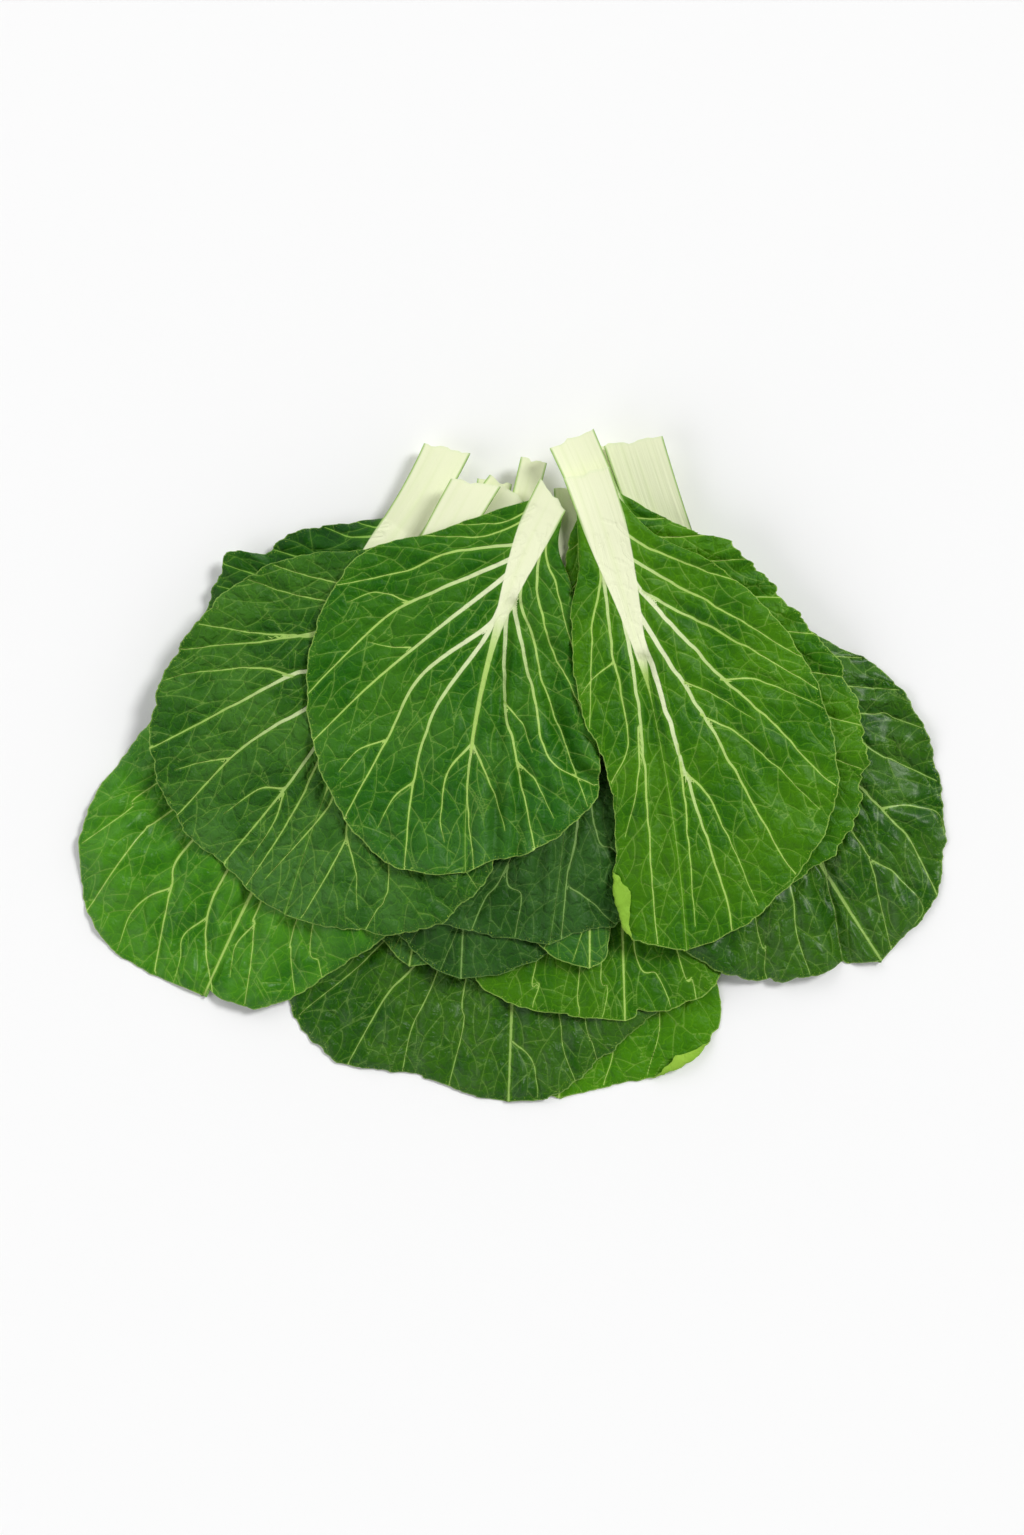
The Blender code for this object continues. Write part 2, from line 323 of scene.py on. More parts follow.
@dataclass(frozen=True)
class LeafFinish:
    """The colours and gloss of a leaf.

    Attributes:
        deep: The blade in its darkest parts.
        fresh: The blade beside its veins and where it is youngest, and the painted highlight on the crowns of the
            quilting.
        halo: The thin yellow green band along a vein.
        vein: The fine veins.
        back: The underside.
        stem: The petiole and the midrib.
        tip: The greyer green towards the tip; in the GARDEN, FOREST and SHADE finishes its grey cast is a painted
            sheen, elsewhere it is the leaf's own tone.
        roughness: Of the blade.
        coat: Weight of the waxy bloom.
        blister: Height of the blisters between the veins.
    """

    deep: Colour
    fresh: Colour
    halo: Colour = (0.100, 0.300, 0.015)
    vein: Colour = (0.400, 0.600, 0.130)
    back: Colour = (0.160, 0.330, 0.070)
    stem: Colour = (0.850, 0.885, 0.610)
    tip: Colour = (0.055, 0.180, 0.030)
    roughness: float = 0.46
    coat: float = 0.03
    blister: float = 0.30


class Tone(Enum):
    """The finishes that the leaves have, from the youngest leaves to the oldest."""

    SPRING = LeafFinish(
        (0.016, 0.108, 0.001),
        (0.058, 0.200, 0.002),
        tip=(0.040, 0.150, 0.002),
        halo=(0.105, 0.300, 0.006),
        back=(0.330, 0.560, 0.060),
    )
    BRIGHT = LeafFinish(
        (0.012, 0.118, 0.001),
        (0.066, 0.250, 0.010),
        tip=(0.055, 0.215, 0.012),
        halo=(0.120, 0.340, 0.012),
        roughness=0.36,
        coat=0.12,
    )
    LIME = LeafFinish(
        (0.028, 0.145, 0.001),
        (0.062, 0.225, 0.002),
        tip=(0.055, 0.205, 0.003),
        halo=(0.120, 0.330, 0.006),
        back=(0.330, 0.560, 0.060),
    )
    GARDEN = LeafFinish(
        (0.010, 0.098, 0.001),
        (0.040, 0.160, 0.006),
        # the grey in this tip colour is a painted sheen
        tip=(0.032, 0.125, 0.024),
        halo=(0.085, 0.260, 0.010),
        blister=0.34,
    )
    FOREST = LeafFinish(
        (0.010, 0.076, 0.002),
        (0.046, 0.158, 0.012),
        # the grey in this tip colour is a painted sheen
        tip=(0.048, 0.150, 0.028),
        halo=(0.085, 0.240, 0.012),
        vein=(0.330, 0.520, 0.110),
        blister=0.50,
    )
    GLOSSY = LeafFinish(
        (0.007, 0.068, 0.001),
        (0.042, 0.140, 0.006),
        tip=(0.030, 0.110, 0.006),
        halo=(0.080, 0.215, 0.010),
        vein=(0.300, 0.480, 0.110),
        roughness=0.34,
        coat=0.18,
        blister=0.46,
    )
    SHADE = LeafFinish(
        (0.008, 0.056, 0.002),
        (0.032, 0.118, 0.014),
        # the grey in this tip colour is a painted sheen
        tip=(0.030, 0.100, 0.018),
        halo=(0.060, 0.165, 0.018),
        vein=(0.200, 0.350, 0.090),
        blister=0.50,
    )
    NIGHT = LeafFinish(
        (0.003, 0.044, 0.001),
        (0.014, 0.092, 0.002),
        tip=(0.024, 0.090, 0.008),
        halo=(0.045, 0.165, 0.006),
        vein=(0.220, 0.420, 0.060),
    )


@dataclass(frozen=True)
class Leaf:
    """One leaf of the fan.

    Attributes:
        name: The CAD node it stands for.
        base: Middle of the cut end.
        length: From the cut end to the tip.
        heading: Of the midrib at its base and at its tip, in degrees; 0 is -Y and positive turns to +X.
        start: Where the blade begins.
        petiole: Half width at the cut end.
        cut: How much further along the right corner of the cut is than the left.
        left: The left margin, as fraction of the length and half width.
        right: The right margin.
        tone: Its finish.
        rows: Cells along the blade.
        wings: Cells across the left and the right half of the blade.
        dome: Rise of the middle of the blade over its margin.
        wave: Height of the waves at the margin.
        waves: How many of them.
        roll: Height of the broad unevenness of the blade.
        quilt: How far the blade stands up between its veins.
        scallop: How uneven the margin's outline is.
        fade: Where the midrib breaks up into its branches.
        spare: How stout the side veins are that rules place.
        veins: The side veins that are listed; rules place the rest.
    """

    name: str
    base: Pair
    length: float
    heading: Pair
    start: float
    petiole: float
    cut: float
    left: Path
    right: Path
    tone: Tone
    rows: int
    wings: tuple[int, int]
    dome: float = 0.0
    wave: float = 1.0
    waves: float = 3.0
    roll: float = 0.8
    quilt: float = 1.3
    scallop: float = 0.6
    fade: Pair = (1.2, 1.3)
    spare: float = 0.75
    veins: tuple[Lateral, ...] = ()
    folds: tuple[Fold, ...] = ()
    notches: tuple[Notch, ...] = ()
    creases: tuple[Crease, ...] = ()
    lifts: tuple[Lift, ...] = ()


# From the lowest leaf to the topmost.
LEAVES = (
    Leaf("low_right", (41, 121), 283, (-2, -6), 0.25, 9, 0,
         ((0.40, 36), (0.60, 52), (0.80, 52), (0.90, 44), (0.96, 30), (0.985, 16)),
         ((0.36, 34), (0.50, 52), (0.64, 64), (0.76, 70), (0.83, 75), (0.89, 66), (0.93, 52), (0.955, 37), (0.975, 20)),
         Tone.LIME, 150, (46, 60), wave=0.8, scallop=0.8,
         folds=(Fold(R, 0.70, 0.84, 9),),
         veins=(
             Lateral(R, 0.50, ((0.80, 18), (0.90, 24)), 0.92),
             Lateral(R, 0.45, ((0.72, 30), (0.84, 45)), 0.84, 0.6),
         )),
    Leaf("low_centre", (7, 132), 295, (-2, -2), 0.25, 11, 0,
         (
             (0.36, 48), (0.50, 78), (0.64, 98), (0.76, 110), (0.85, 109), (0.92, 94), (0.95, 78), (0.955, 60),
             (0.965, 40), (0.99, 20),
         ),
         ((0.36, 40), (0.50, 64), (0.64, 78), (0.76, 80), (0.84, 70), (0.90, 52), (0.925, 44), (0.96, 33), (0.99, 21)),
         Tone.GLOSSY, 190, (84, 62), dome=3, wave=1.2, roll=1.4, quilt=2.3, scallop=1.0,
         veins=(
             Lateral(L, 0.52, ((0.74, -63), (0.79, -77), (0.86, -101)), 0.66, 0.7),
             Lateral(L, 0.59, ((0.78, -48), (0.83, -61), (0.94, -78)), 0.76, 1.0),
             Lateral(L, 0.45, ((0.79, -37), (0.88, -48), (0.95, -52)), 0.84, 0.8),
             Lateral(L, 0.39, ((0.80, -23), (0.87, -23), (0.97, -29)), 0.91, 0.8),
             Lateral(R, None, ((0.90, 1), (0.93, 11), (0.99, 14)), 0.96, 0.5),
             Lateral(R, 0.45, ((0.85, 23), (0.91, 26), (0.96, 32)), 0.88, 0.7),
             Lateral(R, 0.46, ((0.85, 35), (0.89, 39), (0.93, 43)), 0.82, 0.7),
         )),
    Leaf("lower_right", (45, 157), 280, (1.7, 1.7), 0.25, 8, 0,
         ((0.36, 34), (0.50, 55), (0.66, 72), (0.80, 78), (0.90, 74), (0.95, 63), (0.975, 45), (0.99, 22)),
         ((0.36, 34), (0.50, 50), (0.64, 58), (0.78, 58), (0.88, 52), (0.95, 42), (0.975, 28), (0.99, 12)),
         Tone.SPRING, 175, (64, 50), dome=1, wave=1.3, waves=4, scallop=0.8,
         notches=(Notch(R, 0.96, 5, 3.0),),
         veins=(
             Lateral(L, 0.45, ((0.89, -42), (0.93, -41), (0.96, -44)), 0.84, 0.7),
             Lateral(L, 0.50, ((0.90, -21), (0.98, -22)), 0.92, 0.8),
             Lateral(L, 0.60, ((0.90, -11), (0.94, -8), (0.98, -10)), 0.96, 0.6),
             Lateral(R, 0.55, ((0.88, 6), (0.92, 16), (0.96, 21)), 0.91, 0.8),
             Lateral(R, 0.45, ((0.89, 27), (0.93, 33), (0.97, 35)), 0.86, 0.8),
         )),
    Leaf("far_right", (57, 158), 281, (17.6, 34), 0.20, 13.7, 4,
         ((0.30, 34), (0.42, 56), (0.55, 72), (0.68, 80), (0.80, 79), (0.87, 68), (0.92, 54), (0.95, 36), (0.975, 14)),
         (
             (0.30, 28), (0.38, 40), (0.46, 55), (0.54, 71), (0.64, 77), (0.74, 74), (0.84, 64), (0.92, 50), (0.97, 34),
             (0.985, 16),
         ),
         Tone.GLOSSY, 215, (72, 70), dome=7, wave=1.8, roll=1.8, quilt=2.7, scallop=0.8,
         creases=(
             Crease(((0.78, -2), (0.88, -8), (0.97, -15)), 5.0, 6.0),
             Crease(((0.62, 30), (0.78, 46), (0.86, 58)), -2.0, 7.0),
             Crease(((0.50, 18), (0.72, 30), (0.90, 33)), 1.8, 5.0),
         ),
         notches=(Notch(L, 0.93, 4, 3.0), Notch(L, 0.81, 3, 3.0)),
         veins=(
             Lateral(R, 0.48, ((0.60, 53), (0.62, 63), (0.64, 67)), 0.54, 0.8),
             Lateral(R, 0.39, ((0.66, 48), (0.70, 55), (0.77, 68)), 0.64, 0.8),
             Lateral(R, 0.33, ((0.73, 36), (0.84, 43), (0.96, 40)), 0.85, 1.2),
             Lateral(R, None, ((0.77, 40), (0.79, 51), (0.83, 62)), 0.74, 0.6),
             Lateral(R, 0.35, ((0.79, 21), (0.84, 21), (0.98, 8)), 0.97, 0.8),
             Lateral(R, None, ((0.84, 22), (0.89, 29), (0.96, 31)), 0.92, 0.5),
             Lateral(L, 0.64, ((0.82, -20), (0.87, -27), (0.92, -31)), 0.88, 0.7),
             Lateral(L, 0.42, ((0.83, -42), (0.87, -44), (0.90, -50)), 0.81, 0.7),
         )),
    Leaf("under_centre", (-10, 139), 239, (-10, -10), 0.25, 8, 0,
         ((0.40, 40), (0.60, 55), (0.80, 50), (0.90, 32), (0.96, 14), (0.985, 7)),
         ((0.40, 40), (0.60, 55), (0.80, 52), (0.92, 32), (0.98, 12)),
         Tone.FOREST, 110, (40, 40), dome=1),
    Leaf("under_left", (9, 149), 254, (-14, -2), 0.25, 6, 0,
         ((0.36, 26), (0.50, 42), (0.65, 48), (0.80, 45), (0.90, 36), (0.955, 22), (0.985, 12)),
         ((0.36, 26), (0.50, 42), (0.65, 52), (0.80, 56), (0.90, 50), (0.945, 41), (0.97, 30), (0.99, 17)),
         Tone.SHADE, 150, (46, 54), dome=1, roll=1.2, quilt=1.6),
    Leaf("under_right", (36, 121), 218, (0, 0), 0.25, 8, 0,
         ((0.40, 34), (0.60, 48), (0.80, 44), (0.90, 34), (0.96, 22), (0.985, 12)),
         ((0.35, 16), (0.50, 16), (0.70, 13), (0.90, 10), (0.975, 8)),
         Tone.GARDEN, 130, (44, 16), dome=1, wave=0.6),
    Leaf("far_left", (-4, 135), 288, (-38, -24), 0.25, 10, 0,
         ((0.32, 36), (0.42, 60), (0.54, 77), (0.66, 84), (0.78, 90), (0.86, 86), (0.93, 74), (0.975, 60), (1.0, 38)),
         ((0.35, 34), (0.50, 58), (0.64, 69), (0.77, 67), (0.84, 56), (0.90, 47), (0.95, 37), (0.98, 27), (0.99, 13)),
         Tone.BRIGHT, 215, (78, 60), dome=8, wave=1.4, roll=1.8, quilt=2.9,
         creases=(
             Crease(((0.62, -70), (0.78, -72), (0.90, -66)), -2.5, 8.0),
             Crease(((0.72, -54), (0.82, -52), (0.93, -45)), 1.8, 6.0),
         ),
         notches=(Notch(R, 0.985, 5, 3.0),),
         veins=(
             Lateral(L, 0.34, ((0.72, -66), (0.77, -71), (0.81, -77)), 0.67, 0.7),
             Lateral(L, 0.37, ((0.75, -54), (0.80, -61), (0.95, -69)), 0.77, 0.9),
             Lateral(L, 0.40, ((0.77, -37), (0.86, -36), (0.98, -28)), 0.92, 1.2),
             Lateral(L, None, ((0.86, -37), (0.89, -45), (0.93, -49)), 0.85, 0.6),
             Lateral(L, 0.45, ((0.78, -15), (0.90, -12), (1.0, 5)), 0.98, 1.1),
             Lateral(L, None, ((0.88, -15), (0.92, -21), (0.96, -18)), 0.95, 0.5),
             Lateral(R, 0.55, ((0.82, 6), (0.85, 8), (0.92, 15)), 0.92, 0.8),
             Lateral(R, None, ((0.85, 8), (0.90, 4), (0.95, 8)), None, 0.5),
             Lateral(R, 0.45, ((0.82, 26), (0.86, 29), (0.90, 35)), 0.82, 0.7),
             Lateral(R, 0.42, ((0.81, 34), (0.86, 44)), 0.76, 0.7),
         )),
    Leaf("upper_left", (-33, 155), 182, (-25, -66), 0.25, 10.7, -5,
         ((0.31, 21), (0.38, 31), (0.45, 40), (0.56, 42), (0.65, 53), (0.74, 46), (0.84, 34), (0.93, 20), (0.98, 9)),
         ((0.35, 26), (0.50, 42), (0.65, 46), (0.80, 38), (0.92, 22), (0.98, 9)),
         Tone.NIGHT, 165, (50, 46), dome=4, wave=2.4, waves=3.5, roll=1.5, quilt=2.0, scallop=1.0),
    Leaf("centre", (28, 135), 221, (3, -9), 0.20, 9, 0,
         ((0.30, 34), (0.45, 55), (0.60, 64), (0.75, 68), (0.88, 66), (0.96, 60), (0.99, 52), (0.998, 36), (1.0, 18)),
         ((0.32, 28), (0.50, 42), (0.70, 46), (0.85, 43), (0.93, 33), (0.95, 20), (0.975, 9)),
         Tone.SHADE, 190, (62, 42), dome=2, roll=1.6, quilt=1.9, scallop=0.9, fade=(0.62, 0.72),
         creases=(
             Crease(((0.80, -11), (0.88, -9), (0.97, -6)), 3.5, 3.0),
             Crease(((0.78, 12), (0.88, 16), (0.95, 20)), 1.5, 4.0),
         ),
         veins=(
             Lateral(L, 0.45, ((0.83, -25), (0.92, -34), (0.99, -38)), 0.84, 0.9),
             Lateral(L, 0.50, ((0.84, -25), (0.90, -17), (0.97, -17)), 0.93, 0.8),
             Lateral(R, 0.50, ((0.62, 3), (0.74, 6), (0.84, 4), (0.97, 5)), 0.97, 1.0),
             Lateral(R, 0.45, ((0.74, 15), (0.78, 25)), 0.72, 0.8),
             Lateral(R, None, ((0.87, 6), (0.89, 15), (0.93, 28)), 0.84, 0.6),
         )),
    Leaf("mid_left", (-19, 137), 228, (-31, -17), 0.16, 10.7, -9,
         (
             (0.24, 34), (0.30, 57), (0.38, 75), (0.48, 87), (0.62, 94), (0.74, 90), (0.84, 75), (0.91, 54), (0.94, 34),
             (0.98, 18),
         ),
         (
             (0.26, 30), (0.36, 52), (0.50, 72), (0.64, 84), (0.76, 88), (0.86, 80), (0.93, 69), (0.975, 50),
             (0.985, 34), (1.0, 18),
         ),
         Tone.FOREST, 225, (86, 80), dome=2, wave=1.8, waves=4, roll=1.3, quilt=1.7, scallop=0.9,
         fade=(0.70, 0.74), spare=0.5,
         veins=(
             Lateral(L, 0.24, (), 0.25, 0.7), Lateral(L, 0.28, (), 0.30, 0.6), Lateral(L, 0.32, (), 0.41, 0.9),
             Lateral(L, 0.33, ((0.43, -35), (0.49, -56), (0.52, -70), (0.56, -87)), 0.46, 0.9),
             Lateral(L, 0.42, ((0.50, -28), (0.53, -37), (0.64, -59), (0.76, -85)), 0.63, 1.2),
             Lateral(L, None, ((0.53, -36), (0.54, -52), (0.60, -81)), 0.52, 0.7),
             Lateral(L, 0.43, ((0.58, -24), (0.65, -37), (0.73, -49), (0.87, -64)), 0.75, 1.2),
             Lateral(L, None, ((0.73, -49), (0.76, -62), (0.79, -72)), None, 0.6),
             Lateral(L, 0.41, ((0.65, -13), (0.76, -20), (0.93, -35)), 0.87, 1.2),
             Lateral(L, None, ((0.75, -20), (0.77, -31), (0.84, -43)), None, 0.7),
             Lateral(L, None, ((0.76, -19), (0.83, -19), (0.92, -25)), None, 0.6),
             Lateral(L, 0.46, ((0.68, -9), (0.75, -10), (0.86, -15)), 0.92, 0.9),
             Lateral(R, None, ((0.66, 0), (0.73, 4), (0.80, 0), (0.94, -14)), None, 0.8),
             Lateral(R, 0.55, ((0.77, 15), (0.84, 16), (0.97, 10)), 0.97, 0.8),
             Lateral(R, None, ((0.80, 17), (0.86, 26), (0.94, 33)), None, 0.6),
             Lateral(R, 0.45, ((0.82, 40), (0.90, 44), (0.93, 42)), 0.85, 0.8),
         )),
    Leaf("mid_right", (27, 158), 240, (24, 24), 0.14, 11, 0,
         ((0.18, 20), (0.25, 31), (0.35, 40), (0.50, 44), (0.65, 47), (0.80, 44), (0.90, 34), (0.97, 20)),
         ((0.26, 34), (0.31, 48), (0.40, 58), (0.52, 67), (0.64, 75), (0.78, 72), (0.88, 60), (0.95, 46), (0.985, 25)),
         Tone.SPRING, 205, (44, 70), dome=2, wave=2.0, waves=5, quilt=1.4, scallop=1.6),
    Leaf("top_left", (18, 131), 188, (-28, 2), 0.04, 8.6, 8,
         ((0.10, 22), (0.20, 44), (0.30, 73), (0.45, 84), (0.60, 83), (0.75, 73), (0.88, 57), (0.97, 38), (1.0, 18)),
         ((0.12, 14), (0.20, 27), (0.35, 42), (0.50, 52), (0.65, 61), (0.78, 62), (0.88, 49), (0.95, 31), (0.97, 14)),
         Tone.GARDEN, 225, (86, 70), dome=1, wave=1.6, waves=4, roll=1.0, quilt=1.5, fade=(0.68, 0.71), spare=0.35,
         creases=(
             Crease(((0.30, 4), (0.48, 8), (0.70, 13), (0.97, 14)), 4.2, 3.2),
             Crease(((0.34, 14), (0.48, 18), (0.66, 24), (0.80, 30)), 2.6, 3.4),
             Crease(((0.38, 26), (0.54, 36), (0.68, 48), (0.74, 60)), 5.5, 5.5),
             Crease(((0.74, 24), (0.97, 25)), 3.6, 2.6),
             Crease(((0.72, 36), (0.90, 38)), 2.2, 2.6),
             Crease(((0.80, 6), (0.99, 7)), -1.8, 4.0),
             Crease(((0.86, -44), (0.97, -30)), 1.8, 3.0),
         ),
         lifts=(Lift(R, 0.66, 0.09, 4.0), Lift(R, 0.42, 0.12, -2.0)),
         veins=(
             Lateral(L, 0.05, (), 0.13, 0.45), Lateral(L, 0.08, (), 0.19, 0.5),
             Lateral(L, 0.13, ((0.15, -5), (0.23, -33), (0.30, -49), (0.36, -71)), 0.36, 0.8),
             Lateral(L, 0.16, ((0.19, -5), (0.32, -32), (0.41, -52), (0.55, -72)), 0.55, 1.05),
             Lateral(L, None, ((0.37, -45), (0.37, -61), (0.41, -73)), None, 0.55),
             Lateral(L, 0.19, ((0.23, -4), (0.38, -23), (0.56, -51), (0.70, -74)), 0.63, 1.15),
             Lateral(L, None, ((0.47, -38), (0.48, -49), (0.48, -58)), None, 0.5),
             Lateral(L, 0.33, ((0.38, -6), (0.53, -30), (0.69, -41), (0.86, -57)), 0.77, 1.1),
             Lateral(L, None, ((0.69, -42), (0.72, -54), (0.77, -62)), None, 0.55),
             Lateral(L, 0.31, ((0.41, -5), (0.60, -20), (0.78, -26), (0.97, -29)), 0.90, 1.1),
             Lateral(L, None, ((0.78, -26), (0.82, -35), (0.89, -42)), None, 0.6),
             Lateral(L, None, ((0.67, 0), (0.75, -10), (0.86, -12), (0.92, -10)), None, 0.8),
             Lateral(L, None, ((0.66, 0), (0.80, 0), (0.92, 3), (0.99, 4)), None, 0.9),
             Lateral(R, None, ((0.67, 0), (0.74, 8), (0.85, 17), (0.89, 19)), None, 0.8),
             Lateral(R, 0.29, ((0.35, 3), (0.55, 12), (0.65, 19), (0.93, 33)), 0.84, 1.0),
             Lateral(R, None, ((0.55, 12), (0.60, 22), (0.67, 29)), None, 0.55),
             Lateral(R, None, ((0.70, 22), (0.75, 32), (0.85, 42)), None, 0.6),
             Lateral(R, 0.27, ((0.33, 7), (0.53, 26), (0.68, 37), (0.74, 58)), 0.62, 1.0),
             Lateral(R, 0.23, ((0.29, 7), (0.37, 18), (0.48, 28), (0.55, 36)), 0.68, 0.7),
             Lateral(R, 0.11, ((0.20, 9), (0.28, 16), (0.38, 28), (0.51, 47)), 0.53, 0.7),
             Lateral(R, 0.08, ((0.15, 10), (0.23, 22), (0.36, 37)), 0.34, 0.6),
         )),
    Leaf("top_right", (34, 141), 235, (20, 4), 0.07, 10.7, 2,
         (
             (0.18, 18), (0.26, 27), (0.38, 33), (0.48, 34), (0.60, 28), (0.72, 28), (0.84, 31), (0.93, 29), (0.97, 22),
             (0.99, 11),
         ),
         (
             (0.16, 22), (0.23, 41), (0.30, 55), (0.40, 70), (0.52, 80), (0.66, 83), (0.76, 77), (0.86, 59), (0.94, 36),
             (0.98, 17),
         ),
         Tone.SPRING, 255, (46, 84), dome=1, wave=1.6, waves=4, roll=0.9, quilt=1.3, scallop=0.7,
         fade=(0.38, 0.50), spare=0.4,
         folds=(Fold(L, 0.73, 0.90, 12, 1.4, 0.45),),
         creases=(
             Crease(((0.40, -6), (0.56, -12), (0.72, -15), (0.85, -18)), -1.6, 4.0),
             Crease(((0.40, 0), (0.60, -3), (0.84, -8)), 4.2, 4.0),
             Crease(((0.50, 30), (0.66, 46), (0.74, 58)), 2.4, 6.0),
             Crease(((0.30, 22), (0.44, 44), (0.52, 60)), 1.8, 5.0),
         ),
         veins=(
             Lateral(R, 0.12, ((0.15, 10), (0.21, 25), (0.30, 56)), 0.25, 0.7),
             Lateral(R, 0.16, ((0.20, 9), (0.33, 41), (0.44, 69)), 0.40, 0.8),
             Lateral(R, 0.23, ((0.27, 10), (0.37, 37), (0.48, 67)), 0.46, 0.8),
             Lateral(R, 0.22, ((0.28, 10), (0.47, 36), (0.56, 53), (0.68, 73)), 0.62, 1.1),
             Lateral(R, None, ((0.47, 35), (0.49, 54), (0.57, 83)), None, 0.6),
             Lateral(R, 0.24, ((0.32, 5), (0.52, 22), (0.65, 33), (0.82, 49)), 0.78, 1.2),
             Lateral(R, None, ((0.53, 22), (0.60, 42), (0.75, 71)), None, 0.6),
             Lateral(R, None, ((0.46, 18), (0.50, 31), (0.56, 47)), None, 0.5),
             Lateral(R, 0.25, ((0.29, 1), (0.42, 4), (0.60, 8), (0.71, 12), (0.90, 21)), 0.92, 1.45),
             Lateral(R, None, ((0.58, 8), (0.69, 7), (0.95, 5)), None, 0.8),
             Lateral(R, None, ((0.64, 10), (0.71, 20), (0.92, 36)), None, 0.7),
             Lateral(L, 0.24, ((0.32, -4), (0.54, -8), (0.87, -14)), 0.94, 1.0),
             Lateral(L, None, ((0.53, -9), (0.64, -14), (0.75, -24)), None, 0.7),
             Lateral(L, 0.15, ((0.25, -9), (0.36, -13), (0.55, -15)), 0.57, 0.9),
             Lateral(L, None, ((0.39, -15), (0.41, -25), (0.44, -33)), None, 0.5),
             Lateral(L, 0.13, ((0.21, -9), (0.30, -19), (0.39, -25)), 0.45, 0.7),
         )),
)


class Midrib:
    """The middle line of a leaf: places, directions across, half widths and thicknesses by fraction of the length."""

    def __init__(self, leaf: Leaf) -> None:
        """Follows the heading from the base to the tip.

        Args:
            leaf: The leaf it belongs to.
        """
        self.leaf = leaf
        self.s = np.linspace(0, 1, 301)
        first, last = np.radians(leaf.heading)
        turn = first + (last - first) * self.s
        along = np.stack([np.sin(turn), -np.cos(turn)], 1)
        steps = (along[1:] + along[:-1]) / 2 * leaf.length / 300
        self.places = np.array(leaf.base, float) + np.concatenate([np.zeros((1, 2)), np.cumsum(steps, 0)])
        self.across = np.stack([-along[:, 1], along[:, 0]], 1)

    def at(self, s: np.ndarray | float) -> np.ndarray:
        """Gives the places on the line."""
        return np.stack([np.interp(s, self.s, self.places[:, k]) for k in (0, 1)], -1)

    def side(self, s: np.ndarray | float) -> np.ndarray:
        """Gives the directions across the leaf, towards its right margin."""
        return np.stack([np.interp(s, self.s, self.across[:, k]) for k in (0, 1)], -1)

    def beside(self, s: np.ndarray | float, w: np.ndarray | float) -> np.ndarray:
        """Gives the places at a distance from the line."""
        return self.at(s) + np.asarray(w, float)[..., None] * self.side(s)

    def half_width(self, s: np.ndarray | float) -> np.ndarray:
        """Gives the half widths of petiole and midrib.

        Args:
            s: Where, as fraction of the length.

        Returns:
            The half widths.
        """
        start = self.leaf.start
        shrink = 1 - 0.88 * smoothstep(start, start + 0.42, s)
        return self.leaf.petiole * shrink * (1 - 0.5 * np.clip(s, 0, 1)) + 0.5

    def thickness(self, s: np.ndarray | float) -> np.ndarray:
        """Gives the thicknesses along the line."""
        return RIB_SHEET + (PETIOLE - RIB_SHEET) * (1 - smoothstep(0.0, self.leaf.start + 0.45, s))


class Margin:
    """One margin of a leaf, by the share of its own length."""

    def __init__(self, rib: Midrib, side: Side) -> None:
        """Draws the margin through the leaf's half widths.

        Args:
            rib: The leaf's middle line.
            side: Which margin it is.
        """
        leaf = rib.leaf
        rows = ((leaf.start, float(rib.half_width(leaf.start))),) + (
            leaf.right if side is R else leaf.left
        ) + ((1.0, 0.0),)
        s, w = np.array(rows, float).T
        self.curve = smooth_curve(rib.beside(s, side.value * w))
        self.travelled = np.concatenate([[0], np.cumsum(np.linalg.norm(np.diff(self.curve, axis=0), axis=1))])
        self.length = float(self.travelled[-1])

    def at(self, share: np.ndarray | float) -> np.ndarray:
        """Gives the places at shares of the margin.

        Args:
            share: Where, as share of the margin's own length.

        Returns:
            The places.
        """
        return np.stack(
            [np.interp(np.asarray(share) * self.length, self.travelled, self.curve[:, k]) for k in (0, 1)], -1
        )


